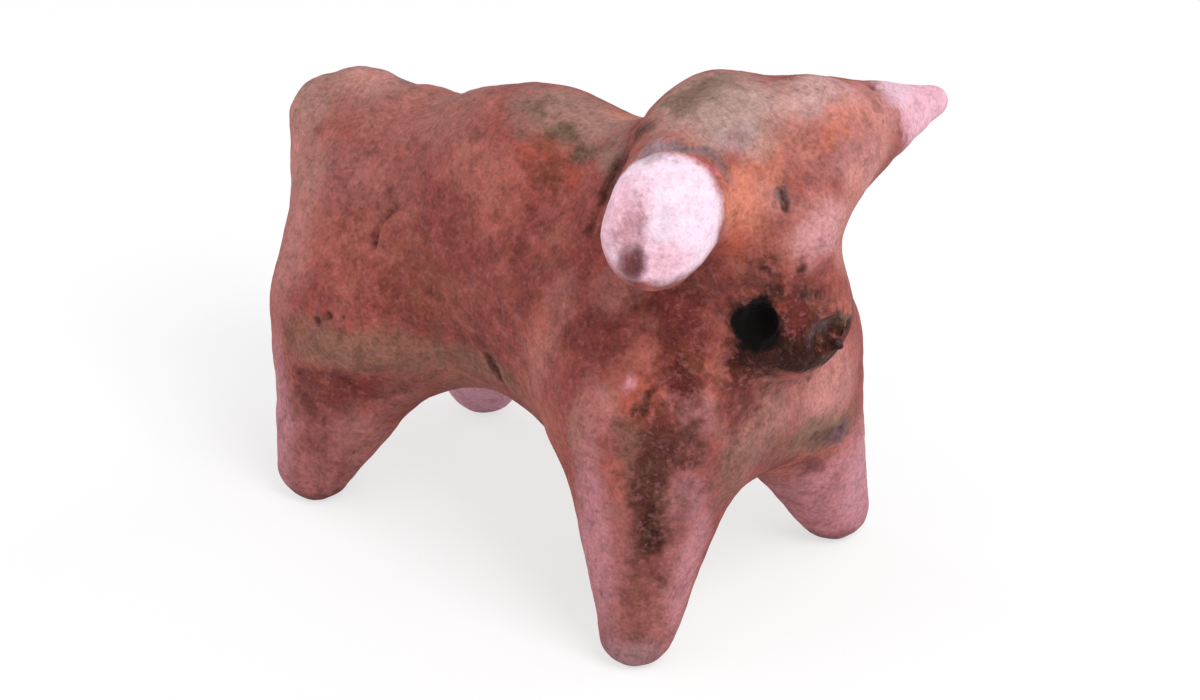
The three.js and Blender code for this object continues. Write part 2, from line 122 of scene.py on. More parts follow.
def bar(
    start: Array,
    end: Array,
    start_radius: float,
    end_radius: float,
    wide_axis: Point = (1.0, 0.0, 0.0),
    ratio: float = 1.0,
) -> Field:
    """A straight bar with round ends of two radii, drawn tight between them as a cone.

    Space is first squeezed along wide_axis by the ratio, which makes the section an oval. The distance is
    that to the nearer end ball, or between them the distance to the slanted cone side.

    Args:
        start: Middle of the first end ball, in mm.
        end: Middle of the second end ball, in mm.
        start_radius: Radius of the first end, in mm.
        end_radius: Radius of the second end, in mm.
        wide_axis: Unit direction in which the section is widened.
        ratio: How many times wider it is there.

    Returns:
        A function from points, in rows, to their distances.
    """
    wide = np.array(wide_axis)

    def squeeze(points: Array) -> Array:
        """Points drawn towards the plane through start and square to the wide axis."""
        return points - ((points - start) @ wide * (1 - 1 / ratio))[..., None] * wide

    run = squeeze(end) - start
    run2 = float(run @ run)
    shrink = start_radius - end_radius
    slant2 = run2 - shrink * shrink

    def distance(points: Array) -> Array:
        """Distances of points to the bar.

        Args:
            points: Points in rows, in mm.

        Returns:
            Their distances, in mm.
        """
        off = squeeze(points) - start
        along = off @ run
        past = along - run2
        side = off * run2 - along[..., None] * run
        side2 = (side * side).sum(-1)
        taper = math.copysign(shrink * shrink, shrink) * side2
        flank = (np.sqrt(side2 * slant2 / run2) + along * shrink) / run2 - start_radius
        at_start = np.sqrt(side2 + along * along * run2) / run2 - start_radius
        at_end = np.sqrt(side2 + past * past * run2) / run2 - end_radius
        result = np.where(np.sign(along) * slant2 * along * along * run2 < taper, at_start, flank)
        return np.where(np.sign(past) * slant2 * past * past * run2 > taper, at_end, result)

    return distance


def pellet(centre: Array, radii: Point) -> Field:
    """An egg-shaped pellet.

    With u the offset over the radii, the near distance is |u| * (|u| - 1) / |u over the radii|.

    Args:
        centre: Middle, in mm.
        radii: Half sizes along x, y and z, in mm.

    Returns:
        A function from points, in rows, to their distances.
    """
    size, shortest = np.array(radii), 1e-6

    def distance(points: Array) -> Array:
        """Near distances of points to the pellet.

        Args:
            points: Points in rows, in mm.

        Returns:
            Their distances, in mm.
        """
        unit = (points - centre) / size
        length = np.maximum(np.linalg.norm(unit, axis=-1), shortest)
        return length * (length - 1) / np.maximum(np.linalg.norm(unit / size, axis=-1), shortest)

    return distance


def joined(first: Field, second: Field, width: float) -> Field:
    """The smooth union of two shapes, smeared over a width in mm."""
    return lambda points: blend(first(points), second(points), width)


def outwards(side: Side, sweep: float, droop: float) -> Array:
    """A unit direction out to one side, turned forwards by the sweep and then down by the droop.

    Args:
        side: Which side.
        sweep: How far forwards, in degrees.
        droop: How far down, in degrees.

    Returns:
        The direction.
    """
    turn, fall = math.radians(sweep), math.radians(droop)
    aside = side.value * math.cos(turn) * math.cos(fall)
    return np.array([math.sin(turn) * math.cos(fall), aside, -math.sin(fall)])


def forwards_down(angle: float) -> Array:
    """A unit direction forwards and down by an angle in degrees."""
    return np.array([math.cos(math.radians(angle)), 0.0, -math.sin(math.radians(angle))])


def foot_height(radius: float) -> float:
    """Height of a foot ball's middle whose bottom is worn to a flat."""
    return math.sqrt(radius * radius - FOOT_FLAT_RADIUS * FOOT_FLAT_RADIUS)


def leaves_at(shape: Field, origins: Array, directions: Array) -> Array:
    """Where rays that start inside a shape first leave it.

    Each ray strides on by most of its depth until it is outside, and the crossing is then closed in on by
    false position, halving the weight of an end that stays.

    Args:
        shape: The shape's distance.
        origins: Ray starts, in rows, in mm.
        directions: Unit ray directions, in rows.

    Returns:
        The points where the rays leave.
    """
    shortest, stride, most_strides, closings, from_ends = 0.25, 0.85, 160, 9, 0.02
    inside = np.zeros(len(origins))
    f_inside = shape(origins)
    outside = inside.copy()
    f_outside = f_inside.copy()
    going = np.arange(len(origins))
    for _ in range(most_strides):
        reach = inside[going] + np.maximum(-f_inside[going] * stride, shortest)
        value = shape(origins[going] + reach[:, None] * directions[going])
        out = value > 0
        outside[going[out]] = reach[out]
        f_outside[going[out]] = value[out]
        going, reach, value = going[~out], reach[~out], value[~out]
        inside[going] = reach
        f_inside[going] = value
        if not len(going):
            break
    for _ in range(closings):
        share = np.clip(f_inside / np.minimum(f_inside - f_outside, -TINY), from_ends, 1 - from_ends)
        middle = inside + share * (outside - inside)
        value = shape(origins + middle[:, None] * directions)
        out = value > 0
        f_inside = np.where(out, f_inside * 0.5, value)
        f_outside = np.where(out, value, f_outside * 0.5)
        outside = np.where(out, middle, outside)
        inside = np.where(out, inside, middle)
    return origins + ((inside + outside) / 2)[:, None] * directions


def solid_noise(points: Array, size: float, seed: int) -> Array:
    """Smooth random heights through space.

    Random values between -1 and 1 stand at the corners of a lattice of cells, and a point gets the mean of
    its cell's corners, weighted by t * t * t * (t * (6 * t - 15) + 10) along each axis. The lattice is turned
    first, so that its planes don't line up with the object.

    Args:
        points: Points in rows, in mm.
        size: The cells' size, in mm.
        seed: Which lattice.

    Returns:
        A value between about -1 and 1 for each point.
    """
    rng = np.random.default_rng(seed)
    turned, _ = np.linalg.qr(rng.normal(size=(3, 3)))
    cells = 32
    lattice = rng.uniform(-1, 1, (cells, cells, cells))
    place = points @ turned / size + rng.uniform(0, cells, 3)
    base = np.floor(place)
    t = place - base
    weight = t * t * t * (t * (6 * t - 15) + 10)
    low = base.astype(np.int64) % cells
    high = (low + 1) % cells
    value = np.zeros(len(points))
    for corner in range(8):
        bits = np.array([corner & 1, corner >> 1 & 1, corner >> 2 & 1])
        at = np.where(bits, high, low)
        share = np.where(bits, weight, 1 - weight).prod(-1)
        value += share * lattice[at[:, 0], at[:, 1], at[:, 2]]
    return value


class Cut(Enum):
    """The section that a tool leaves in clay, from its middle line out."""

    ROUND = "round"
    SHARP = "sharp"


@dataclass(frozen=True)
class Mark:
    """One mark worked into the skin along a line of points: a dent, a pit, a gash or, if raised, a bump.

    The skin is pushed in by depth * section(distance to the line / width). A round section is the bell
    (1 - u * u) squared, and a sharp one is the notch (1 - u) squared.
    """

    what: str
    line: tuple[Point, ...]
    width: float
    depth: float
    cut: Cut = Cut.ROUND
    ragged: float = 0.0

    def sunk(self, points: Array) -> Array:
        """How far the mark pushes each point in.

        Args:
            points: Points in rows, in mm.

        Returns:
            Their depths, in mm.
        """
        sunk = np.zeros(len(points))
        middle = np.mean(self.line, axis=0)
        radius = max(float(np.linalg.norm(np.subtract(p, middle))) for p in self.line)
        near = np.flatnonzero(((points - middle) ** 2).sum(-1) < (radius + 2 * self.width) ** 2)
        close = points[near]
        away = np.full(len(close), np.inf)
        for first, second in zip(self.line, self.line[1:] or self.line):
            run = np.subtract(second, first)
            share = np.clip((close - first) @ run / max(float(run @ run), TINY), 0, 1)
            away = np.minimum(away, np.linalg.norm(close - first - share[:, None] * run, axis=-1))
        if self.ragged:
            away = away + self.ragged * self.width * solid_noise(close, self.width, RIM_SEED)
        u = np.clip(away / self.width, 0, 1)
        section = (1 - u * u) ** 2 if self.cut is Cut.ROUND else (1 - u) ** 2
        sunk[near] = self.depth * section
        return sunk


def pit(what: str, place: Point, width: float, depth: float) -> Mark:
    """A small round pit, or a crumb if the depth is negative, with a ragged rim."""
    return Mark(what, (place,), width, depth, Cut.ROUND, RAGGED_RIM)


def crack(what: str, line: tuple[Point, ...], width: float, depth: float) -> Mark:
    """A sharp crack along a line, with a ragged rim."""
    return Mark(what, line, width, depth, Cut.SHARP, RAGGED_RIM)


class Tone(Enum):
    """A colour of the fired clay, as sRGB bytes."""

    BRICK = (134, 64, 60)
    WARM_BRICK = (156, 86, 76)
    ROSE = (162, 106, 98)
    BLUSH = (192, 130, 124)
    OCHRE = (202, 124, 102)
    EMBER = (172, 76, 56)
    RUST = (113, 62, 44)
    MAROON = (92, 36, 34)
    UMBER = (72, 38, 34)
    SOIL = (104, 62, 44)
    # The soot tone is the muzzle's own smoke-dark, and also painted shade under the chin and in creases.
    SOOT_AND_SHADE = (40, 14, 9)
    BLACK = (6, 3, 3)
    # The smoke tone is grey firing smoke, and also painted shade on the rear face of the rump.
    SMOKE_AND_SHADE = (150, 118, 108)
    ASH = (172, 142, 134)
    MOSS = (104, 84, 66)
    OLIVE = (132, 94, 78)
    MAUVE = (150, 94, 94)
    PINK = (184, 124, 132)
    CORAL = (228, 122, 138)
    PALE_PINK = (224, 172, 188)
    WORN_WHITE = (232, 206, 222)
    LILAC = (158, 134, 144)
    SLATE = (112, 98, 100)
    VIOLET = (96, 76, 88)
    PINE = (52, 52, 46)

    @property
    def linear(self) -> tuple[float, ...]:
        """The colour as opaque linear light: each channel to the power 2.4 above the curve's short foot.

        Returns:
            Red, green, blue and opacity.
        """
        parts = [value / 255 for value in self.value]
        light = [part / 12.92 if part <= 0.04045 else ((part + 0.055) / 1.055) ** 2.4 for part in parts]
        return (*light, 1.0)


@dataclass(frozen=True)
class Stain:
    """A soft egg-shaped patch of another colour in the skin, in mm.

    Its first radius lies along towards, and ragged says how far noise frays its edge. A stain that is less
    ragged than STILL lies just where it says, and the others wander a little.
    """

    what: str
    tone: Tone
    centre: Point
    radii: Point
    strength: float = 0.6
    soft: float = 0.5
    ragged: float = 0.5
    towards: Point = (1.0, 0.0, 0.0)

    STILL: ClassVar[float] = 0.3

    def mirrored(self) -> "Stain":
        """The same stain on the other side of the midline."""
        (x, y, z), (ahead, aside, up) = self.centre, self.towards
        return replace(self, centre=(x, -y, z), towards=(ahead, -aside, up))

    @property
    def turn(self) -> Quaternion:
        """The turn that brings x onto the stain's length."""
        return Vector(self.towards).to_track_quat("X", "Z")

    def touches(self, points: Array) -> bool:
        """Whether the stain, with its frayed edge, reaches any of some points in the layout."""
        own = (points - self.centre) @ np.array(self.turn.to_matrix()) / self.radii
        return bool((own**2).sum(-1).min() < (1 + self.soft + self.ragged / 2) ** 2)


def streak(
    what: str, tone: Tone, start: Point, end: Point, width: float, strength: float = 0.6, ragged: float = 0.5
) -> Stain:
    """A long stain from one point to another.

    Args:
        what: What it shows.
        tone: Its colour.
        start: One end, in mm.
        end: The other end, in mm.
        width: Its half width, in mm.
        strength: How much of the colour under it is covered.
        ragged: How far noise frays its edge.

    Returns:
        The stain.
    """
    run = np.subtract(end, start)
    length = float(np.linalg.norm(run))
    centre = tuple(((np.add(start, end)) / 2).tolist())
    radii = (length / 2 + width, width, width)
    towards = tuple((run / length).tolist())
    return Stain(what, tone, centre, radii, strength, ragged=ragged, towards=towards)


@dataclass(frozen=True)
class Pressing:
    """An egg-shaped tool pressed deep into the clay, leaving a pit with a rounded rim."""

    centre: Array
    radii: Point
    rim: float = 0.6

    def cut(self, shape: Field) -> Field:
        """The shape with this pit in it: the smooth intersection of the shape and the tool's outside."""
        tool = pellet(self.centre, self.radii)
        return lambda points: -blend(-shape(points), tool(points), self.rim)


@dataclass(frozen=True)
class Core:
    """The line inside a lump from which its whole skin is seen, and how its rings are spread.

    A wider span than an end's own radius lays more rings over that end.
    """

    root: Array
    far: Array
    root_span: float
    far_span: float

    def rays(self, shares: Array, turns: Array) -> tuple[Array, Array]:
        """Rays from the core to the skin.

        The share of the way runs over the root's round end, along the core and over the far round end. The
        ray leans from straight back, to square across all along the core, to straight on.

        Args:
            shares: How far over the lump, from 0 at the root's pole to 1 at the far pole.
            turns: Angle round the core, in radians, with the shape of shares.

        Returns:
            The origins and the unit directions, in rows.
        """
        run = self.far - self.root
        length = float(np.linalg.norm(run))
        root_arc, far_arc = self.root_span * math.pi / 2, self.far_span * math.pi / 2
        total = root_arc + length + far_arc
        way = shares.ravel() * total
        angle = np.full(way.shape, math.pi / 2)
        angle = np.where(way < root_arc, math.pi - way / self.root_span, angle)
        angle = np.where(way > root_arc + length, (total - way) / self.far_span, angle)
        along = np.clip((way - root_arc) / length, 0, 1)
        axis = run / length
        sideways, least_lean = np.cross((0.0, 0.0, 1.0), axis), 0.5
        sideways = sideways if np.linalg.norm(sideways) > least_lean else np.array((0.0, 1.0, 0.0))
        sideways = sideways - sideways @ axis * axis
        sideways = sideways / np.linalg.norm(sideways)
        upwards = np.cross(axis, sideways)
        turn = turns.ravel()
        across = np.cos(turn)[:, None] * sideways + np.sin(turn)[:, None] * upwards
        directions = np.cos(angle)[:, None] * axis + np.sin(angle)[:, None] * across
        return self.root + along[:, None] * run, directions


@dataclass(frozen=True)
class Skeleton:
    """The landmarks from which more than one lump is measured, and the sizes that set them, in mm."""

    trunk_length: float = 42.7
    trunk_rear_x: float = 2.0
    trunk_height: float = 39.4
    trunk_rise: float = 0.6
    neck_ahead: float = 5.3
    neck_above: float = 6.3
    neck_reach: float = 8.1
    neck_rise: float = 19.5
    head_ahead: float = 6.0
    head_right: float = 1.0
    muzzle_ahead: float = 4.2
    muzzle_below: float = 13.3

    @property
    def trunk_rear(self) -> Array:
        """The trunk's axis at the rear."""
        return np.array([self.trunk_rear_x, 0.0, self.trunk_height])

    @property
    def trunk_front(self) -> Array:
        """The trunk's axis at the shoulders."""
        return self.trunk_rear + (self.trunk_length, 0.0, self.trunk_rise)

    @property
    def neck_base(self) -> Array:
        """The neck's axis where it leaves the trunk."""
        return self.trunk_front + (self.neck_ahead, 0.0, self.neck_above)

    @property
    def neck_top(self) -> Array:
        """The neck's axis under the poll."""
        return self.neck_base + (self.neck_reach, 0.0, self.neck_rise)

    @property
    def poll(self) -> Array:
        """The middle of the back of the skull."""
        return self.neck_top + (self.head_ahead, -self.head_right, 0.0)

    @property
    def muzzle_root(self) -> Array:
        """The muzzle's axis where it leaves the face."""
        return self.poll + (self.muzzle_ahead, 0.0, -self.muzzle_below)


@dataclass(frozen=True)
class Lump(ABC):
    """One lump of clay: its shape, its smear, the way it is worked and stained, and its grid."""

    at: Skeleton
    node: ClassVar[str]
    smear: ClassVar[float]
    rings: ClassVar[int]
    around: ClassVar[int]
    marks: ClassVar[tuple[Mark, ...]] = ()
    stains: ClassVar[tuple[Stain, ...]] = ()

    @abstractmethod
    def shape(self) -> Field:
        """The distance to this lump alone."""

    @abstractmethod
    def core(self) -> Core:
        """The line from which its skin is seen whole."""

    def pressings(self) -> tuple[Pressing, ...]:
        """The pits that are pressed into it."""
        return ()

    def build(self, skin: "Skin") -> bpy.types.Object:
        """The lump as a mesh that rides on the one body in place of its CAD node.

        Args:
            skin: Its skin in the layout.

        Returns:
            The mesh's object.
        """
        piece = skin.mesh("worked_" + self.node)
        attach(piece, "root")
        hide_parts(self.node)
        return piece

    def dress(
        self, piece: bpy.types.Object, skin: "Skin", clay: "FiredClay", stains: tuple[Stain, ...]
    ) -> None:
        """Gives the lump its finish, with the stains that reach it.

        Args:
            piece: The lump's mesh.
            skin: Its skin in the layout.
            clay: Its finish.
            stains: The stains of the whole figurine, from the lowest layer to the topmost.
        """
        near = tuple(stain for stain in stains if stain.touches(skin.points))
        piece.data.materials.append(clay.material(f"{clay.slot}_{self.node}", near))
        LOG.info("%s: %d vertices, %d stains", piece.name, len(skin.points), len(near))


@dataclass(frozen=True)
class Trunk(Lump):
    """The trunk: one rolled bar, deeper than wide, with a rump, a brisket and a small raised croup."""

    node = "trunk"
    smear = 9.0
    rings = 340
    around = 280
    marks = (
        crack("gash on the flank", ((12.3, -13.7, 47.8), (10.8, -14.3, 46.4), (9.9, -15.0, 44.8),
              (10.5, -16.1, 42.2)), 0.8, 0.8),
        crack("crack under the belly", ((31.0, -16.0, 32.6), (32.3, -15.3, 30.2), (32.6, -14.6, 28.3)),
              0.9, 0.6),
        Mark("fold between hump and neck", ((47.8, -6.4, 65.2), (48.3, -9.2, 63.4), (48.2, -12.1, 59.2),
             (48.0, -13.8, 56.4)), 1.3, 0.7, Cut.SHARP, 0.2),
        pit("pit over the hind leg", (4.8, -22.1, 31.1), 0.9, 0.55),
        pit("second pit over the hind leg", (6.9, -21.6, 32.5), 0.8, 0.6),
        pit("third pit over the hind leg", (9.0, -21.0, 32.6), 0.6, 0.3),
        Mark("scrape on the haunch", ((0.6, -21.9, 33.0), (1.5, -22.2, 31.2)), 0.9, 0.3, Cut.ROUND, 0.3),
        Mark("finger groove over the hind leg", ((2.6, -22.6, 22.3), (9.9, -20.9, 23.2), (16.0, -17.3, 24.3)),
             2.6, 0.35),
        Mark("crease on the rump", ((-10.4, -5.0, 54.2), (-5.4, -10.2, 51.4)), 1.5, 0.2),
        Mark("clay laid in the saddle", ((4.5, 4.5, 56.4), (12.0, 2.4, 58.2)), 6.0, -0.7),
        Mark("press before the croup", ((-1.0, 3.4, 57.4),), 3.6, 0.45),
        Mark("crown of the croup", ((-8.8, 1.6, 57.0), (-6.4, 1.6, 57.4)), 4.4, -0.8),
        Mark("press on the loin", ((6.0, -9.0, 53.6), (13.0, -9.0, 53.8)), 3.5, 0.25),
        Mark("ridge before the shoulder", ((26.5, -11.2, 56.5), (28.5, -13.5, 51.0)), 2.2, -0.22),
        crack("crack on the left flank", ((21.0, 15.6, 44.5), (23.5, 15.8, 42.2), (24.2, 16.1, 39.6)),
              0.8, 0.5),
        pit("pit on the left flank", (6.5, 14.9, 43.0), 0.9, 0.4),
        Mark("dent on the left flank", ((30.0, 16.0, 47.0), (35.0, 16.8, 44.0)), 3.0, 0.3),
    )
    stains = (
        Stain("rosy back", Tone.ROSE, (6.0, 0.0, 58.0), (24.0, 14.0, 7.5), 0.6),
        # Painted rim light: the pale patches on the haunch edge, the back of the thigh and the edge of the
        # rump stand for light along the outline.
        Stain("painted rim light on the haunch edge", Tone.BLUSH, (-14.0, -9.0, 42.0), (5.5, 9.0, 18.0), 0.6),
        Stain("painted rim light on the back of the thigh", Tone.BLUSH, (-4.6, -18.4, 36.4), (4.6, 5.0, 10.0), 0.6, 0.8, 0.8),
        Stain("painted rim light on the edge of the rump", Tone.BLUSH, (-5.8, -14.2, 45.0), (4.2, 4.6, 9.0), 0.5, 0.8, 0.8),
        Stain("mauve side of the rump", Tone.MAUVE, (1.0, -13.6, 50.0), (6.0, 4.0, 6.0), 0.5),
        Stain("red-brown flank", Tone.MAROON, (22.0, -15.0, 43.0), (22.0, 8.0, 9.0), 0.3, 0.6, 0.8),
        Stain("rosy flank before the hind leg", Tone.ROSE, (14.2, -15.6, 19.5), (3.4, 4.0, 4.4), 0.5),
        # Painted rim light on the left haunch edge.
        Stain("painted rim light on the haunch edge on the left", Tone.BLUSH, (-14.0, 9.0, 40.0), (5.0, 9.0, 14.0), 0.35),
        # Painted shade: the grey on the rear corner of the rump and the back of the thigh stands for the rear
        # face lying in shade.
        Stain("painted shade on the rear corner of the rump", Tone.SMOKE_AND_SHADE, (-11.0, -6.0, 53.0), (4.5, 4.5, 5.0), 0.6),
        Stain("painted shade on the back of the thigh", Tone.SMOKE_AND_SHADE, (-6.0, -11.5, 46.5), (4.0, 4.0, 5.0), 0.35),
        Stain("olive croup", Tone.SMOKE_AND_SHADE, (-6.0, -1.0, 58.5), (8.0, 7.0, 2.6), 0.65),
        streak("dusty ridge of the back", Tone.SMOKE_AND_SHADE, (8.0, 0.0, 58.6), (24.0, 0.0, 59.6), 2.4, 0.25),
        Stain("pale top of the croup", Tone.BLUSH, (-4.8, -1.6, 58.4), (4.0, 4.0, 2.0), 0.6),
        Stain("dark red loin", Tone.BRICK, (14.0, -11.0, 52.0), (9.0, 5.0, 6.0), 0.4),
        Stain("redder lower flank", Tone.RUST, (21.0, -16.6, 38.6), (6.5, 4.0, 6.0), 0.4),
        Stain("pale flank", Tone.ROSE, (8.0, -13.5, 50.0), (8.0, 5.0, 3.5), 0.35),
        Stain("dark lower flank", Tone.MAROON, (24.0, -16.4, 34.2), (6.0, 3.0, 2.2), 0.35),
        Stain("red shoulder of the trunk", Tone.BRICK, (39.0, -16.8, 48.0), (6.0, 4.0, 8.0), 0.65),
        Stain("cloud behind the shoulder", Tone.MAROON, (39.0, -16.6, 46.0), (3.0, 3.0, 6.0), 0.3, 0.5, 0.9),
        Stain("ember under the shoulder", Tone.EMBER, (43.5, -18.0, 42.0), (3.0, 3.0, 4.0), 0.35),
        Stain("pale fold of the shoulder", Tone.BLUSH, (45.0, -18.5, 38.5), (4.0, 4.0, 5.0), 0.3),
        Stain("maroon shoulder", Tone.MAROON, (46.5, -16.8, 50.5), (4.0, 3.0, 5.0), 0.35),
        Stain("maroon breast", Tone.MAROON, (54.0, -19.4, 45.0), (5.5, 4.0, 4.0), 0.5),
        Stain("pale breast under the horn", Tone.BLUSH, (54.6, -16.0, 50.6), (3.2, 3.2, 3.2), 0.3),
        Stain("rosy fold of the shoulder", Tone.BLUSH, (46.6, -18.2, 47.1), (2.8, 3.0, 4.4), 0.25),
        streak("olive over the hind leg", Tone.OLIVE, (1.5, -22.7, 27.0), (10.5, -21.3, 28.0), 3.6, 0.75),
        streak("olive before the hind leg", Tone.OLIVE, (10.5, -21.0, 28.0), (19.0, -17.6, 28.5), 3.6, 0.75),
        streak("olive band under the belly", Tone.OLIVE, (19.0, -16.5, 28.0), (32.0, -15.2, 30.0), 3.2, 0.75),
        Stain("olive belly", Tone.OLIVE, (22.0, -8.0, 23.5), (16.0, 9.0, 4.0), 0.5),
        streak("olive edge before the crack", Tone.OLIVE, (33.5, -15.4, 29.8), (39.0, -17.5, 26.0), 2.6, 0.6),
        # Darker colour along the crack and the gash and in the pits on the haunch.
        streak("dark line in the crack", Tone.UMBER, (31.2, -16.0, 32.2), (32.5, -14.8, 28.8), 1.0, 0.85),
        streak("dark line in the gash", Tone.UMBER, (12.3, -13.7, 47.8), (10.6, -14.5, 46.0), 0.6, 0.9, 0.15),
        streak("dark line low in the gash", Tone.UMBER, (10.6, -14.5, 46.0), (9.9, -15.3, 44.2), 0.6, 0.95, 0.15),
        streak("end of the gash", Tone.MAROON, (9.9, -15.3, 44.2), (10.4, -16.0, 42.4), 0.55, 0.8, 0.15),
        Stain("dark spot in the pit", Tone.UMBER, (4.8, -22.1, 31.1), (0.8, 0.9, 0.7), 0.85, 0.4, 0.25),
        Stain("dark spot in the second pit", Tone.UMBER, (6.9, -21.6, 32.5), (0.7, 0.9, 0.6), 0.8, 0.4, 0.25),
        Stain("dark spot in the third pit", Tone.UMBER, (9.0, -21.0, 32.6), (0.5, 0.7, 0.5), 0.8, 0.4, 0.25),
        Stain("dark spot on the haunch", Tone.UMBER, (2.6, -22.4, 32.8), (0.6, 0.8, 0.6), 0.7, 0.4, 0.25),
        # Painted shade: the dark streaks along the fold between hump and neck stand for the shade in that
        # crease.
        streak("painted shade in the fold", Tone.UMBER, (48.0, -6.8, 65.4), (48.2, -11.8, 60.2), 1.6, 0.9),
        streak("painted shade low in the fold", Tone.UMBER, (48.2, -12.1, 59.4), (47.6, -14.2, 55.4), 1.1, 0.65),
        Stain("smoke on the left flank", Tone.SMOKE_AND_SHADE, (16.0, 15.0, 46.0), (11.0, 4.0, 7.0), 0.45),
        Stain("maroon cloud on the left flank", Tone.MAROON, (34.0, 17.0, 40.0), (8.0, 4.0, 6.0), 0.35),
        streak("olive band on the left", Tone.OLIVE, (3.0, 22.4, 27.0), (22.0, 16.0, 28.5), 3.4, 0.55),
        Stain("rosy breast", Tone.BLUSH, (72.0, 1.0, 34.0), (3.0, 7.0, 5.0), 0.45),
        Stain("shaded throat", Tone.MAROON, (69.5, 0.0, 41.5), (5.0, 9.0, 4.0), 0.5),
    )
    rear_radius: float = 14.3
    front_radius: float = 18.4
    depth_ratio: float = 1.2
    rump_radius: float = 6.8
    rump_half_spacing: float = 3.3
    rump_back: float = 7.4
    rump_above: float = 3.2
    croup_radii: Point = (5.6, 2.5, 3.2)
    croup_back: float = 7.0
    croup_above: float = 13.1
    brisket_rear_radius: float = 13.0
    brisket_front_radius: float = 10.4
    brisket_length: float = 13.0
    brisket_ahead: float = 1.6
    brisket_below: float = 6.6

    def shape(self) -> Field:
        """The roll, then the brisket, the rump and the croup worked into it.

        Returns:
            A function from points, in rows, to their distances.
        """
        rear, front = self.at.trunk_rear, self.at.trunk_front
        roll = bar(rear, front, self.rear_radius, self.front_radius, (0.0, 0.0, 1.0), self.depth_ratio)
        chest = front + (self.brisket_ahead, 0.0, -self.brisket_below)
        breast = chest + (self.brisket_length, 0.0, 0.0)
        rump = rear + (-self.rump_back, 0.0, self.rump_above)
        half = np.array((0.0, self.rump_half_spacing, 0.0))
        brisket = bar(chest, breast, self.brisket_rear_radius, self.brisket_front_radius)
        shape = joined(roll, brisket, self.smear)
        shape = joined(shape, bar(rump - half, rump + half, self.rump_radius, self.rump_radius), self.smear)
        croup = pellet(rear + (-self.croup_back, 0.0, self.croup_above), self.croup_radii)
        return joined(shape, croup, self.smear)

    def core(self) -> Core:
        """The trunk's axis, as far as the chest."""
        chest = self.at.trunk_front + (self.brisket_ahead, 0.0, 0.0)
        return Core(self.at.trunk_rear, chest, self.rear_radius, self.front_radius)


@dataclass(frozen=True)
class Leg(Lump):
    """A leg: a blunt cone from the trunk to a foot that is worn flat.

    Its hip and its foot are measured from the trunk's axis over it. The stagger is how far the right leg
    stands ahead of the left one, and set_left moves the foot to the left.
    """

    smear = 12.0
    around = 220
    hip_ahead: float
    hip_below: float
    hip_spacing: float
    hip_radius: float
    feet_spacing: float
    foot_ahead: float
    foot_radius: float
    width_ratio: float = 1.0
    stagger: float = 0.0
    set_left: float = 0.0
    side: Side = Side.RIGHT

    @property
    @abstractmethod
    def over(self) -> Array:
        """The trunk's axis over the leg."""

    def core(self) -> Core:
        """The leg's axis from the hip to the foot.

        Returns:
            The axis, with more rings over the foot.
        """
        ahead = -self.side.value * self.stagger / 2
        hip = self.over + (self.hip_ahead + ahead, self.side.value * self.hip_spacing / 2, -self.hip_below)
        foot_y = self.side.value * self.feet_spacing / 2 + self.set_left
        foot = np.array([self.over[0] + self.foot_ahead + ahead, foot_y, foot_height(self.foot_radius)])
        return Core(hip, foot, self.hip_radius, 2 * self.foot_radius)

    def shape(self) -> Field:
        """A cone from the hip to the foot, its section drawn out fore and aft."""
        core = self.core()
        return bar(core.root, core.far, self.hip_radius, self.foot_radius, (1.0, 0.0, 0.0), self.width_ratio)


@dataclass(frozen=True)
class HindLeg(Leg):
    """A hind leg: wider from front to back than across."""

    rings = 260
    hip_ahead: float = 1.2
    hip_below: float = 12.4
    hip_spacing: float = 22.3
    hip_radius: float = 11.5
    width_ratio: float = 1.2
    feet_spacing: float = 35.3
    foot_ahead: float = -3.1
    foot_radius: float = 5.0

    @property
    def over(self) -> Array:
        """The trunk's axis at the rear."""
        return self.at.trunk_rear


@dataclass(frozen=True)
class ForeLeg(Leg):
    """A foreleg: round, leaning forwards and out."""

    rings = 280
    hip_ahead: float = 13.2
    hip_below: float = 7.7
    hip_spacing: float = 23.5
    hip_radius: float = 12.8
    feet_spacing: float = 43.4
    foot_ahead: float = 17.1
    foot_radius: float = 5.1
    stagger: float = 1.4
    set_left: float = 0.5

    @property
    def over(self) -> Array:
        """The trunk's axis at the shoulders."""
        return self.at.trunk_front


@dataclass(frozen=True)
class RightHindLeg(HindLeg):
    """The right hind leg."""

    node = "right_hind_leg"
    stains = (
        Stain("mauve leg", Tone.MAUVE, (2.5, -20.0, 8.0), (13.0, 9.0, 12.0), 0.75, 0.35),
        Stain("dark top of the leg", Tone.MAROON, (5.5, -21.8, 20.0), (6.5, 4.0, 3.6), 0.7),
        Stain("dark top of the leg before", Tone.MAROON, (12.5, -19.0, 21.4), (5.5, 4.0, 2.4), 0.5),
        Stain("dark shin", Tone.MAROON, (3.6, -21.8, 13.5), (2.2, 3.0, 5.0), 0.35),
        # Painted rim light: the pale strip down the hind edge stands for light along the leg's outline; the
        # left leg mirrors it.
        streak("painted rim light on the hind edge", Tone.PINK, (-4.4, -21.0, 21.0), (-3.2, -21.4, 6.0), 3.4, 0.85),
        Stain("pale shin before", Tone.ROSE, (9.0, -18.0, 11.0), (3.0, 4.0, 5.0), 0.5),
        Stain("grimy foot", Tone.UMBER, (1.0, -19.0, 0.6), (8.0, 7.0, 1.6), 0.5),
    )


@dataclass(frozen=True)
class LeftHindLeg(HindLeg):
    """The left hind leg."""

    node = "left_hind_leg"
    stains = (
        *(stain.mirrored() for stain in RightHindLeg.stains),
        # Painted light: the pale pink lifts the inside of the leg, which lies in shade under the belly.
        Stain("painted light on the inside of the leg", Tone.PALE_PINK, (5.0, 14.0, 5.0), (13.0, 12.0, 13.0), 1.0),
    )
    side: Side = Side.LEFT


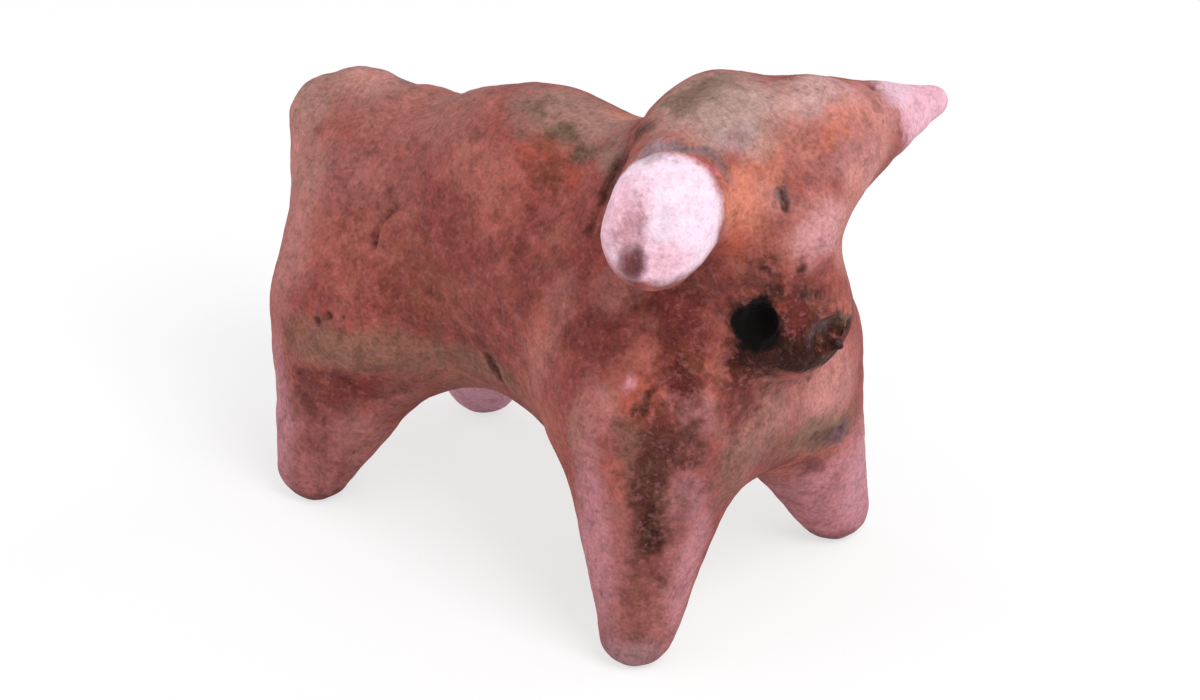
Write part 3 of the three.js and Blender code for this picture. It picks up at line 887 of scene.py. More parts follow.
@dataclass(frozen=True)
class RightForeLeg(ForeLeg):
    """The right foreleg."""

    node = "right_foreleg"
    marks = (
        crack("gash on the shoulder", ((64.1, -20.9, 40.0), (63.9, -21.8, 38.6), (63.6, -22.5, 37.4)),
              1.0, 0.8),
        Mark("pit on the shin", ((60.5, -25.9, 11.3),), 0.6, 0.35),
        Mark("press down the shin", ((66.0, -22.0, 33.0), (66.4, -23.0, 18.0)), 3.0, 0.3),
        Mark("ridge down the shin", ((68.9, -19.6, 30.0), (68.4, -20.6, 14.0)), 2.0, -0.2),
        pit("chip at the foot", (66.4, -24.0, 2.0), 1.6, 0.35),
    )
    stains = (
        Stain("mauve shin", Tone.MAUVE, (63.0, -22.5, 10.0), (8.0, 8.0, 15.0), 0.7, 0.35),
        Stain("mauve inside of the leg", Tone.MAUVE, (68.6, -19.4, 25.0), (4.0, 4.0, 9.0), 0.65),
        Stain("smoky breast", Tone.SMOKE_AND_SHADE, (71.6, -8.6, 33.0), (4.0, 6.0, 7.0), 0.5),
        # Painted rim light: the pink strip down the outside of the shin stands for light along the leg's
        # outline.
        streak("painted rim light on the outside of the shin", Tone.PINK, (57.0, -25.2, 29.0), (59.5, -25.0, 9.0), 3.6, 0.8),
        streak("pink inside of the shin", Tone.PINK, (70.0, -16.5, 21.0), (69.0, -19.0, 7.0), 3.2, 0.75),
        Stain("lilac of the shin", Tone.LILAC, (69.4, -18.6, 26.5), (2.0, 2.6, 3.0), 0.2),
        Stain("lilac of the breast", Tone.LILAC, (69.4, -17.0, 37.6), (3.0, 3.0, 3.2), 0.25),
        Stain("olive web", Tone.OLIVE, (71.4, -11.6, 26.5), (3.0, 3.4, 5.0), 0.55),
        # Painted shade: the dark on the breast by the chin stands for the muzzle's shadow.
        Stain("painted shade on the breast by the chin", Tone.MAROON, (70.8, -10.6, 37.6), (3.0, 3.6, 4.4), 0.8, 0.5, 0.8),
        Stain("pink shoulder", Tone.BLUSH, (57.6, -24.0, 36.0), (4.5, 4.0, 5.0), 0.4),
        Stain("grey shoulder", Tone.OLIVE, (55.0, -23.6, 33.0), (2.0, 3.0, 4.0), 0.4),
        Stain("dark shoulder", Tone.UMBER, (65.4, -21.0, 34.0), (5.0, 4.2, 6.0), 0.8, 0.5, 0.8),
        Stain("olive smoke on the shoulder", Tone.OLIVE, (63.4, -22.6, 33.6), (2.4, 2.6, 5.0), 0.5, 0.5, 0.8),
        Stain("dark inside of the shoulder", Tone.UMBER, (68.8, -18.6, 33.4), (2.2, 2.4, 3.4), 0.6),
        streak("dark stripe", Tone.UMBER, (65.8, -22.0, 34.0), (66.5, -23.2, 17.4), 2.5, 0.95),
        # Darker colour down the middle of the stripe.
        streak("darkest line of the stripe", Tone.SOOT_AND_SHADE, (66.2, -22.6, 26.0), (66.5, -23.2, 19.0), 1.2, 0.7),
        streak("brown foot of the stripe", Tone.RUST, (66.0, -23.8, 15.0), (65.6, -24.8, 5.0), 2.0, 0.45),
        Stain("maroon breast above the leg", Tone.MAROON, (63.8, -13.6, 46.6), (5.0, 3.4, 5.0), 0.85),
        Stain("dark red under it", Tone.MAROON, (66.4, -16.4, 42.0), (3.4, 3.4, 3.6), 0.95, 0.5, 0.8),
        Stain("brown-black under it", Tone.SOOT_AND_SHADE, (66.8, -15.8, 42.4), (2.2, 2.2, 2.4), 0.4, 0.5, 0.8),
        Stain("rust fleck under it", Tone.RUST, (66.8, -14.8, 43.6), (1.4, 1.4, 1.8), 0.7),
        Stain("pink fleck", Tone.PALE_PINK, (61.3, -21.3, 41.4), (0.9, 0.8, 1.3), 0.6),
        Stain("pink dust on the shoulder", Tone.BLUSH, (59.7, -23.1, 38.8), (1.8, 1.6, 2.0), 0.4),
        Stain("red shoulder", Tone.EMBER, (62.6, -21.8, 39.4), (3.0, 2.6, 3.2), 0.4),
        # Darker colour along the shoulder gash.
        streak("dark line in the shoulder gash", Tone.SOOT_AND_SHADE, (64.1, -21.0, 39.8), (63.7, -22.3, 37.8), 0.9, 0.85),
        Stain("lilac tip of the leg", Tone.LILAC, (64.6, -24.6, 2.6), (5.0, 4.0, 3.0), 0.4),
    )


@dataclass(frozen=True)
class LeftForeLeg(ForeLeg):
    """The left foreleg."""

    node = "left_foreleg"
    marks = (
        pit("pit in the smudge", (69.2, 12.6, 23.2), 1.0, 0.4),
        Mark("press over the shin", ((66.4, 4.0, 19.6), (66.4, 11.0, 16.6)), 2.4, 0.35),
        Mark("pit on the outside", ((62.0, 25.6, 12.0),), 0.7, 0.35),
    )
    stains = (
        Stain("pink shin", Tone.PINK, (64.0, 18.0, 9.0), (10.0, 10.0, 13.0), 0.85, 0.35),
        # Painted rim light: the pale pink on the outer edge stands for light along the leg's outline.
        Stain("painted rim light on the outer edge", Tone.PALE_PINK, (68.0, 21.0, 10.0), (3.0, 4.0, 8.0), 0.2),
        Stain("rosy breast on the left", Tone.BLUSH, (71.4, 8.4, 31.4), (4.0, 7.0, 7.0), 0.75),
        streak("grey smudge", Tone.MOSS, (71.4, 1.0, 27.4), (69.4, 12.6, 23.6), 3.8, 0.75),
        streak("dark middle of the smudge", Tone.UMBER, (70.8, 5.0, 25.4), (69.4, 12.4, 22.8), 1.6, 0.7),
        Stain("dark end of the smudge", Tone.VIOLET, (69.2, 12.6, 22.8), (1.6, 2.2, 1.8), 0.7),
        streak("maroon band under it", Tone.MAROON, (67.4, 1.0, 21.0), (66.6, 11.0, 16.8), 1.9, 0.8),
        Stain("maroon cloud outside", Tone.MAROON, (57.0, 23.5, 33.0), (6.0, 4.0, 6.0), 0.35),
        Stain("grimy tip", Tone.UMBER, (63.0, 22.0, 0.6), (8.0, 7.0, 1.6), 0.4),
    )
    side: Side = Side.LEFT


@dataclass(frozen=True)
class Hump(Lump):
    """The hump: a pellet pressed on the withers."""

    node = "hump"
    smear = 9.0
    rings = 200
    around = 220
    marks = (
        Mark("long press on the hump", ((33.4, -5.4, 63.8), (36.6, -5.8, 63.2)), 2.0, 0.5, Cut.ROUND, 0.3),
        Mark("second press on the hump", ((40.0, -6.4, 62.6), (41.2, -6.6, 62.2)), 1.6, 0.4, Cut.ROUND, 0.3),
        Mark("lip over the press", ((33.0, -2.6, 64.9), (39.0, -4.2, 64.2)), 1.8, -0.25),
    )
    stains = (
        Stain("smoky hump", Tone.SMOKE_AND_SHADE, (35.0, -1.6, 64.6), (10.0, 6.4, 3.6), 0.8),
        Stain("dark left shoulder of the hump", Tone.MOSS, (29.6, -3.6, 64.6), (2.6, 2.6, 2.4), 0.45),
        Stain("moss in the press", Tone.MOSS, (35.2, -5.6, 63.4), (2.8, 1.5, 1.5), 0.9),
        Stain("moss in the second press", Tone.MOSS, (40.8, -6.6, 62.4), (2.0, 1.6, 1.6), 0.85),
        Stain("ember side of the hump", Tone.EMBER, (34.6, -9.2, 60.8), (4.0, 2.4, 2.6), 0.45),
        Stain("rusty side of the hump", Tone.RUST, (36.6, -10.0, 59.8), (3.2, 2.2, 2.2), 0.8, 0.5, 0.8),
        Stain("rusty edge of the press", Tone.RUST, (34.0, -7.6, 62.4), (2.4, 1.4, 1.2), 0.6),
        Stain("ember fleck", Tone.EMBER, (41.4, -9.6, 59.8), (1.8, 1.6, 1.6), 0.5),
        Stain("grey foot of the hump", Tone.SMOKE_AND_SHADE, (45.6, -7.0, 64.0), (3.0, 3.2, 2.8), 0.65),
        Stain("ochre end of the hump", Tone.OCHRE, (40.5, 3.4, 64.0), (4.0, 3.2, 2.0), 0.6),
    )
    radii: Point = (13.9, 9.5, 9.2)
    ahead: float = 26.5
    above: float = 16.0

    def core(self) -> Core:
        """Straight up from the trunk's axis to the pellet's middle."""
        seat = self.at.trunk_rear + (self.ahead, 0.0, 0.0)
        return Core(seat, seat + (0.0, 0.0, self.above), self.radii[2], self.radii[0])

    def shape(self) -> Field:
        """An egg lying along the back."""
        return pellet(self.core().far, self.radii)


@dataclass(frozen=True)
class Neck(Lump):
    """The neck: a short thick bar up from the shoulders."""

    node = "neck"
    smear = 8.0
    rings = 220
    around = 240
    stains = (
        Stain("ashen poll", Tone.ASH, (62.5, -6.0, 76.4), (9.0, 9.0, 4.6), 0.85),
        Stain("mossy crown", Tone.MOSS, (60.2, -1.6, 77.0), (3.6, 3.0, 1.8), 0.65),
        Stain("dark middle of the poll", Tone.UMBER, (61.0, -6.4, 76.6), (4.6, 4.2, 2.6), 0.55, 0.5, 0.9),
        Stain("mossy cloud on the poll", Tone.MOSS, (59.8, -6.4, 76.0), (4.6, 4.4, 3.6), 0.8, 0.5, 0.8),
        # Painted shade: the dark streak behind the horn stands for the shade in the crevice between horn and
        # neck.
        streak("painted shade in the crease behind the horn", Tone.SOOT_AND_SHADE, (48.6, -9.0, 64.6), (56.0, -12.8, 72.8), 1.7, 0.95, 0.25),
        Stain("ember nape", Tone.EMBER, (50.0, 4.0, 66.0), (4.0, 6.0, 4.0), 0.35),
        Stain("maroon side of the neck", Tone.MAROON, (59.6, -14.4, 49.6), (4.0, 3.0, 4.0), 0.4),
    )
    base_radius: float = 13.0
    top_radius: float = 10.5

    def core(self) -> Core:
        """The neck's axis."""
        return Core(self.at.neck_base, self.at.neck_top, self.base_radius, self.top_radius)

    def shape(self) -> Field:
        """A bar that thins upwards."""
        return bar(self.at.neck_base, self.at.neck_top, self.base_radius, self.top_radius)


@dataclass(frozen=True)
class Head(Lump):
    """The head: the skull from poll to brow, with a full jaw under it."""

    node = "head"
    smear = 6.0
    rings = 240
    around = 260
    marks = (
        Mark("right eye", ((73.4, -5.7, 67.2), (74.0, -5.9, 66.2), (74.6, -6.2, 65.1)),
             0.9, 0.9, Cut.SHARP, 0.15),
        Mark("lid of the right eye", ((73.2, -5.6, 67.6),), 1.5, 0.3),
        Mark("left eye", ((74.8, 3.4, 67.4), (75.6, 3.8, 65.6)), 0.9, 0.6, Cut.SHARP, 0.15),
        pit("pit between eye and nose", (76.4, -4.9, 57.4), 1.0, 0.45),
        pit("pit on the cheek", (73.2, -8.4, 56.4), 1.1, 0.4),
        pit("pit over the nostril", (74.5, -7.6, 54.1), 1.0, 0.5),
        Mark("small pit", ((71.4, -9.8, 57.2),), 0.7, 0.25),
        pit("pit on the left cheek", (73.6, 6.4, 56.2), 1.0, 0.4),
        Mark("bridge of the nose", ((77.4, -1.8, 62.0), (77.6, -1.6, 57.0)), 3.0, -0.25),
        Mark("groove round the jaw", ((63.4, -11.6, 51.8), (60.8, -13.9, 50.6), (57.6, -15.4, 50.2)),
             1.6, 0.3),
    )
    stains = (
        Stain("ashen crown", Tone.ASH, (67.0, -4.5, 75.4), (6.0, 9.0, 3.2), 0.75),
        Stain("lilac temple", Tone.LILAC, (68.4, -8.0, 73.6), (3.4, 3.6, 2.0), 0.4),
        Stain("rosy brow", Tone.ROSE, (72.0, 0.0, 71.6), (4.0, 6.0, 3.6), 0.6),
        Stain("pale crown on the left", Tone.BLUSH, (70.0, 6.6, 74.4), (5.0, 7.0, 2.4), 0.9),
        Stain("pale pink crown", Tone.PALE_PINK, (70.0, 8.6, 75.2), (4.0, 6.0, 1.6), 0.4),
        Stain("pale top of the crown", Tone.ASH, (68.6, 5.6, 75.0), (4.0, 6.0, 1.6), 0.6),
        Stain("pale corner of the eye", Tone.BLUSH, (73.2, -7.4, 67.4), (2.0, 2.0, 3.6), 0.7),
        Stain("rosy face", Tone.BLUSH, (77.0, -2.6, 61.8), (4.0, 5.0, 5.0), 0.75),
        Stain("pale face", Tone.PALE_PINK, (77.4, -1.6, 61.0), (3.0, 5.0, 3.4), 0.3),
        Stain("ochre forehead", Tone.OCHRE, (72.6, -1.0, 71.0), (2.4, 4.0, 2.4), 0.2),
        # Painted highlight: the pale pink on the left cheek stands for light falling on it.
        Stain("painted highlight on the left cheek", Tone.BLUSH, (76.4, 3.6, 58.0), (3.0, 3.0, 5.0), 0.6),
        Stain("ochre cheek", Tone.OCHRE, (71.4, -11.4, 66.2), (2.8, 3.4, 6.0), 0.9),
        Stain("ochre temple", Tone.OCHRE, (70.8, -6.0, 70.0), (2.0, 2.4, 3.0), 0.6),
        Stain("pale brow", Tone.ASH, (71.2, -6.6, 72.4), (2.4, 3.0, 1.8), 0.55),
        Stain("ember cheek", Tone.EMBER, (70.4, -12.0, 60.6), (2.6, 2.4, 3.6), 0.6),
        Stain("ember brow on the left", Tone.EMBER, (74.2, 3.6, 71.0), (2.0, 2.4, 2.4), 0.3),
        Stain("maroon brow on the left", Tone.MAUVE, (75.2, 1.0, 69.0), (2.0, 2.6, 2.6), 0.5),
        Stain("dark cheek", Tone.UMBER, (65.0, -11.2, 53.0), (4.0, 2.6, 3.4), 0.5),
        Stain("maroon under the horn", Tone.MAROON, (63.4, -11.6, 50.6), (3.4, 2.6, 3.2), 0.6),
        Stain("grey eye", Tone.SLATE, (73.5, -5.7, 67.2), (1.0, 1.0, 1.3), 0.7, 0.35, 0.3),
        Stain("dark eye", Tone.PINE, (74.4, -6.1, 65.5), (0.6, 0.6, 1.3), 0.85, 0.4, 0.2),
        Stain("dark left eye", Tone.PINE, (75.3, 3.6, 66.3), (1.0, 0.9, 1.5), 0.95, 0.35, 0.2),
        Stain("brown face over the muzzle", Tone.UMBER, (73.4, -8.6, 54.6), (3.2, 3.2, 3.2), 0.65, 0.5, 1.0),
        Stain("maroon face over the mouth", Tone.MAROON, (76.6, -4.8, 54.4), (3.0, 3.6, 2.8), 0.6, 0.5, 1.0),
        # Darker colour in the pits on the face and the cheek and over the nostril.
        Stain("dark spot in the face pit", Tone.SOOT_AND_SHADE, (76.5, -4.9, 57.3), (0.9, 1.2, 0.7), 0.8),
        Stain("dark spot in the cheek pit", Tone.SOOT_AND_SHADE, (73.2, -8.4, 56.4), (1.0, 1.0, 0.9), 0.75),
        Stain("dark spot over the nostril", Tone.SOOT_AND_SHADE, (74.6, -7.6, 54.0), (1.0, 1.0, 1.1), 0.8),
    )
    length: float = 6.6
    drop_angle: float = 47.0
    poll_radius: float = 8.1
    brow_radius: float = 9.0
    jaw_radius: float = 8.2
    jaw_below: float = 10.5
    muzzle_root_radius: float = 6.8

    @property
    def brow(self) -> Array:
        """The middle of the brow's ball."""
        return self.at.poll + forwards_down(self.drop_angle) * self.length

    @property
    def jaw(self) -> Array:
        """The middle of the back of the jaw."""
        return self.at.poll + (0.0, -self.at.head_right, -self.jaw_below)

    def core(self) -> Core:
        """From the jaw up to the brow."""
        return Core(self.jaw, self.brow, self.poll_radius, self.brow_radius)

    def shape(self) -> Field:
        """The skull's bar and the jaw's bar, smeared together.

        Returns:
            A function from points, in rows, to their distances.
        """
        skull = bar(self.at.poll, self.brow, self.poll_radius, self.brow_radius)
        jaw = bar(self.jaw, self.at.muzzle_root, self.jaw_radius, self.muzzle_root_radius)
        return joined(skull, jaw, self.smear)


@dataclass(frozen=True)
class Muzzle(Lump):
    """The muzzle: a short bar that swells to a blunt end."""

    node = "muzzle"
    smear = 4.0
    rings = 280
    around = 300
    marks = (
        Mark("corner of the right nostril", ((71.4, -10.1, 50.2), (69.0, -10.2, 50.6)), 1.1, 0.8, Cut.SHARP),
        Mark("foot of the right nostril", ((72.6, -9.6, 46.8), (72.5, -9.3, 44.6)), 1.5, 0.4),
        pit("left half of the mouth", (79.4, 1.3, 46.5), 1.9, 0.7),
        Mark("fold across the mouth", ((79.6, -2.4, 48.6), (79.4, -0.7, 45.0)), 1.1, -0.9),
        Mark("small fold in the mouth", ((79.6, 0.0, 47.6), (79.4, 1.6, 45.4)), 0.6, -0.4),
        pit("pit on the muzzle", (77.4, -4.8, 52.6), 1.0, 0.45),
        pit("second pit on the muzzle", (76.0, -6.1, 53.6), 0.7, 0.3),
        pit("crumb on the chin", (76.4, -5.4, 42.6), 1.0, -0.25),
        pit("crumb beside the nostril", (76.6, -6.9, 47.6), 1.0, -0.25),
    )
    stains = (
        Stain("brown muzzle", Tone.UMBER, (76.6, -6.6, 49.8), (5.4, 5.4, 4.6), 0.9, 0.35, 0.7),
        Stain("red bridge", Tone.MAROON, (76.8, -6.4, 51.0), (1.6, 1.6, 1.1), 0.5),
        # Painted shade: the dark under the mouth, under the muzzle and below the right nostril stands for the
        # shade under the chin. Round the right nostril the dark is partly the muzzle's own smoke and partly
        # painted shade below it.
        Stain("soot and painted shade round the right nostril", Tone.SOOT_AND_SHADE, (75.8, -6.8, 46.0), (6.0, 5.4, 3.8), 1.0, 0.35, 0.6),
        Stain("painted shade under the mouth", Tone.SOOT_AND_SHADE, (78.0, -3.0, 43.8), (3.4, 6.0, 2.4), 0.95, 0.4, 0.6),
        Stain("painted shade under the muzzle", Tone.SOOT_AND_SHADE, (77.0, -6.2, 43.6), (4.0, 3.4, 2.2), 1.0, 0.35, 0.4),
        Stain("soot round the left nostril", Tone.SOOT_AND_SHADE, (75.0, 5.0, 46.0), (5.0, 4.6, 3.8), 0.85, 0.4, 0.6),
        Stain("painted shade below the nostril", Tone.SOOT_AND_SHADE, (73.0, -9.2, 43.6), (4.0, 3.4, 3.4), 0.95, 0.35, 0.5),
        Stain("ember beside the nostril", Tone.EMBER, (74.8, -8.0, 51.0), (0.9, 1.2, 1.0), 0.7),
        Stain("rim of the right nostril", Tone.SOOT_AND_SHADE, (72.0, -9.4, 48.0), (3.8, 6.0, 4.6), 0.7, 0.3, 0.4),
        Stain("red beside the nostril", Tone.MAROON, (77.0, -6.8, 50.6), (1.8, 2.0, 2.4), 0.75),
        # Painted shade: the black in both nostrils and in the corner of the right one stands for the shade
        # inside the pressed pits.
        Stain("right nostril", Tone.BLACK, (72.3, -9.0, 48.5), (3.6, 6.0, 4.0), 1.0, 0.2, 0.3),
        streak("painted shade in the corner of the nostril", Tone.BLACK, (71.4, -10.0, 50.8), (70.0, -10.2, 51.4), 0.8, 0.7),
        Stain("left nostril", Tone.BLACK, (72.4, 6.8, 48.8), (4.2, 4.4, 3.7), 1.0, 0.2, 0.3),
        Stain("dark mouth", Tone.SOOT_AND_SHADE, (79.2, -2.2, 47.0), (2.6, 4.0, 2.5), 0.95, 0.25, 0.4),
        Stain("violet mouth", Tone.SLATE, (79.4, -2.8, 47.4), (2.0, 3.0, 1.7), 0.55, 0.5, 0.9),
        Stain("grey left half of the mouth", Tone.MOSS, (79.6, 0.4, 47.4), (1.4, 1.6, 1.4), 0.7, 0.5, 0.7),
        streak("dark line in the mouth", Tone.BLACK, (79.4, -3.6, 48.6), (79.2, -1.8, 45.2), 0.6, 0.8),
        Stain("dark corner of the mouth", Tone.SOOT_AND_SHADE, (79.2, 2.0, 46.2), (1.2, 1.0, 1.6), 0.8, 0.4, 0.5),
        # Darker colour in the two pits on the muzzle.
        Stain("dark spot in the muzzle pit", Tone.SOOT_AND_SHADE, (77.4, -4.8, 52.6), (0.9, 1.1, 0.8), 0.75),
        Stain("dark spot in the second pit", Tone.RUST, (78.2, -3.6, 51.2), (0.8, 1.6, 0.9), 0.6),
    )
    length: float = 5.8
    drop_angle: float = 62.0
    root_radius: float = 6.8
    tip_radius: float = 8.7
    nostril_radii: Point = (2.7, 4.0, 3.5)
    nostril_spacing: float = 18.2
    nostril_ahead: float = 4.6
    nostril_below: float = 3.6
    mouth_radii: Point = (1.7, 3.4, 2.6)
    mouth_ahead: float = 10.9
    mouth_right: float = 2.2
    mouth_below: float = 5.4

    def core(self) -> Core:
        """The muzzle's axis.

        Returns:
            The axis, from the face to the middle of the blunt end.
        """
        root = self.at.muzzle_root
        tip = root + forwards_down(self.drop_angle) * self.length
        return Core(root, tip, self.root_radius, self.tip_radius)

    def shape(self) -> Field:
        """A bar that swells towards the nose."""
        core = self.core()
        return bar(core.root, core.far, self.root_radius, self.tip_radius)

    def pressings(self) -> tuple[Pressing, ...]:
        """A nostril on each side, and the mouth at the front, a little to the right.

        Returns:
            The three pits, as they are pressed.
        """
        root = self.at.muzzle_root
        aside = self.nostril_spacing / 2
        right = root + (self.nostril_ahead, -aside, -self.nostril_below)
        left = root + (self.nostril_ahead, aside, -self.nostril_below)
        mouth = root + (self.mouth_ahead, -self.mouth_right, -self.mouth_below)
        return (
            Pressing(right, self.nostril_radii),
            Pressing(left, self.nostril_radii),
            Pressing(mouth, self.mouth_radii),
        )


@dataclass(frozen=True)
class LeftHorn(Lump):
    """The left horn: a cone drawn out to a rounded point."""

    node = "left_horn"
    smear = 5.0
    rings = 300
    around = 220
    marks = (
        Mark("nick on the left horn", ((69.3, 17.4, 72.2), (68.8, 20.2, 71.5)), 0.8, 0.35),
        Mark("press on the left horn", ((74.0, 13.0, 68.6), (72.8, 20.0, 67.4)), 2.4, 0.25),
        Mark("pit under the left horn", ((73.6, 13.6, 65.8),), 0.8, 0.3),
    )
    stains = (
        Stain("rosy root of the horn", Tone.BLUSH, (71.5, 13.0, 70.5), (5.0, 7.0, 5.0), 0.8),
        Stain("ochre root of the horn", Tone.OCHRE, (73.7, 8.2, 72.2), (3.4, 5.0, 2.8), 0.5),
        Stain("mauve side of the horn", Tone.MAUVE, (75.6, 5.0, 69.4), (2.2, 3.4, 2.4), 0.45, 0.5, 0.9),
        Stain("rosy underside of the horn", Tone.BLUSH, (75.6, 8.4, 66.0), (3.0, 5.6, 4.6), 0.95),
        Stain("mauve mottle at the root", Tone.MAUVE, (74.4, 8.6, 69.0), (2.4, 3.4, 3.0), 0.5, 0.5, 0.9),
        Stain("pale pink tip", Tone.PALE_PINK, (70.5, 28.5, 67.0), (6.0, 9.6, 6.0), 0.95, 0.3),
        Stain("white top of the tip", Tone.WORN_WHITE, (70.0, 26.0, 70.4), (3.4, 7.0, 1.8), 0.4),
        streak("dark nick", Tone.UMBER, (69.2, 17.6, 72.2), (68.9, 20.2, 71.5), 0.75, 0.95),
        # Darker colour in the pit under the horn.
        Stain("dark spot beneath the left horn", Tone.MAUVE, (73.6, 13.6, 65.8), (1.0, 1.2, 1.0), 0.7),
    )
    out: float = 9.2
    length: float = 24.2
    sweep_angle: float = 2.6
    droop_angle: float = 3.6
    ahead: float = 2.8
    above: float = 0.5
    root_radius: float = 9.1
    tip_radius: float = 2.2

    def core(self) -> Core:
        """The horn's axis from the skull to the tip.

        Returns:
            The axis, with more rings over the tip.
        """
        root = self.at.poll + (self.ahead, self.out, self.above)
        tip = root + outwards(Side.LEFT, self.sweep_angle, self.droop_angle) * self.length
        return Core(root, tip, self.root_radius, 2 * self.tip_radius)

    def shape(self) -> Field:
        """A cone with round ends."""
        core = self.core()
        return bar(core.root, core.far, self.root_radius, self.tip_radius)


@dataclass(frozen=True)
class RightHorn(Lump):
    """The right horn: a thick stub whose end is worn to a sloping face with a round edge."""

    node = "right_horn"
    smear = 5.0
    rings = 300
    around = 260
    marks = (
        Mark("dimple in the worn end", ((66.7, -27.1, 62.5), (66.5, -26.6, 63.8)), 1.7, 0.8),
        Mark("hollow over the dimple", ((66.2, -26.2, 65.4), (65.8, -25.4, 67.4)), 2.0, 0.3),
        Mark("edge over the worn end", ((60.9, -18.4, 72.7), (64.2, -16.8, 74.0), (67.5, -13.9, 73.5),
             (70.1, -12.9, 70.9)), 1.2, 0.4),
        Mark("brow over the edge", ((61.6, -16.0, 74.6), (65.6, -13.4, 74.9)), 1.6, -0.3),
        crack("crack in the worn end", ((69.4, -20.0, 68.6), (69.8, -21.4, 66.0)), 0.6, 0.2),
        Mark("fleck in the worn end", ((61.6, -22.6, 70.2),), 0.7, 0.2),
    )
    stains = (
        # Painted shade: the grey under the stub stands for the shade under the worn end.
        Stain("painted shade under the stub", Tone.SLATE, (70.6, -24.0, 61.4), (3.0, 3.4, 2.2), 0.45),
        Stain("worn white end", Tone.WORN_WHITE, (67.0, -22.4, 67.6), (8.3, 8.3, 8.3), 1.0, 0.1, 0.12),
        # Painted shade: the pink on the left of the worn end stands for that side turning from the light.
        Stain("painted shade on the pink left of the worn end", Tone.PALE_PINK, (62.6, -25.4, 67.0), (4.4, 4.4, 7.0), 0.75),
        Stain("pink foot of the worn end", Tone.PALE_PINK, (69.6, -24.0, 62.6), (3.4, 3.4, 2.4), 0.7),
        # Painted shade: the mauve streak and the dark dimple stain stand for the shade in the hollow and the
        # dimple.
        streak("painted shade in the hollow", Tone.MAUVE, (65.0, -25.6, 67.6), (66.6, -27.0, 63.0), 2.0, 0.55),
        Stain("pink foot of the oval", Tone.PALE_PINK, (67.8, -25.6, 62.8), (3.0, 2.6, 2.6), 0.5),
        Stain("violet painted shade in the dimple", Tone.VIOLET, (66.6, -27.1, 62.4), (1.9, 2.2, 2.3), 0.5, 0.5, 0.2),
        Stain("maroon painted shade in the dimple", Tone.MAROON, (66.6, -27.1, 62.4), (1.6, 2.0, 2.1), 0.85, 0.45, 0.2),
        streak("coral line under the edge", Tone.CORAL, (65.0, -17.6, 73.2), (69.6, -14.6, 71.4), 0.9, 0.55),
        streak("grey edge behind", Tone.SLATE, (60.8, -18.4, 72.6), (64.2, -16.8, 73.9), 0.9, 0.85),
        streak("grey edge before", Tone.SLATE, (64.2, -16.7, 74.0), (67.6, -13.9, 73.6), 0.9, 0.85),
        streak("grey edge beside the eye", Tone.SLATE, (67.8, -13.6, 73.4), (70.2, -12.6, 71.0), 1.0, 0.6),
        Stain("lilac top of the stub", Tone.LILAC, (62.4, -18.6, 73.6), (3.4, 2.6, 1.6), 0.65),
    )
    out: float = 7.5
    length: float = 16.4
    sweep_angle: float = 19.0
    droop_angle: float = 10.5
    back: float = 2.4
    above: float = 1.8
    root_radius: float = 8.6
    end_radius: float = 6.7
    worn_end_beyond: float = 1.7
    worn_end_turn_angle: float = 57.0
    worn_end_tilt_angle: float = 22.0
    worn_end_edge: float = 4.0
    core_share: float = 0.7

    @property
    def root(self) -> Array:
        """The stub's axis at the skull."""
        return self.at.poll + (-self.back, -self.out, self.above)

    @property
    def end(self) -> Array:
        """The middle of the stub's end ball."""
        return self.root + outwards(Side.RIGHT, self.sweep_angle, self.droop_angle) * self.length

    def core(self) -> Core:
        """The stub's axis, ending short of the worn face."""
        far = self.root + (self.end - self.root) * self.core_share
        return Core(self.root, far, self.root_radius, self.end_radius)

    def shape(self) -> Field:
        """A round-ended bar, cut by the worn face with a smoothly rounded edge.

        Returns:
            A function from points, in rows, to their distances.
        """
        facing = outwards(Side.RIGHT, 90 - self.worn_end_turn_angle, -self.worn_end_tilt_angle)
        on_face = self.end + facing * self.worn_end_beyond
        stub = bar(self.root, self.end, self.root_radius, self.end_radius)
        return lambda points: -blend(-stub(points), -((points - on_face) @ facing), self.worn_end_edge)


@dataclass(frozen=True)
class Tail(Lump):
    """The tail: a short strap down the back of the rump."""

    node = "tail"
    smear = 5.0
    rings = 200
    around = 200
    marks = (
        Mark("press beside the tail", ((-17.0, -5.6, 50.0), (-17.4, -5.2, 43.0)), 1.8, 0.3),
        Mark("press left of the tail", ((-17.0, 5.6, 50.0), (-17.4, 5.2, 43.0)), 1.8, 0.3),
        Mark("groove under the tail", ((-17.6, -2.4, 35.6), (-17.8, 2.4, 35.2)), 1.6, 0.3),
    )
    stains = (
        Stain("grey top of the tail", Tone.SMOKE_AND_SHADE, (-14.6, 0.0, 54.4), (4.0, 6.0, 3.0), 0.5),
        Stain("rosy tail", Tone.BLUSH, (-19.5, 0.0, 44.0), (3.0, 5.0, 7.0), 0.45),
    )
    back: float = 14.2
    above: float = 9.4
    length: float = 8.5
    lean: float = 0.8
    top_radius: float = 6.3
    end_radius: float = 5.5

    @property
    def top(self) -> Array:
        """The strap's upper end."""
        return self.at.trunk_rear + (-self.back, 0.0, self.above)

    @property
    def end(self) -> Array:
        """The strap's lower end."""
        return self.top + (-self.lean, 0.0, -self.length)

    def core(self) -> Core:
        """From inside the rump straight back to the middle of the strap.

        Returns:
            The line, which is level.
        """
        outside = (self.top + self.end) / 2
        inside = np.array([self.at.trunk_rear_x - self.back / 2, 0.0, outside[2]])
        return Core(inside, outside, self.top_radius, self.end_radius)

    def shape(self) -> Field:
        """A bar that hangs down the rump."""
        return bar(self.top, self.end, self.top_radius, self.end_radius)


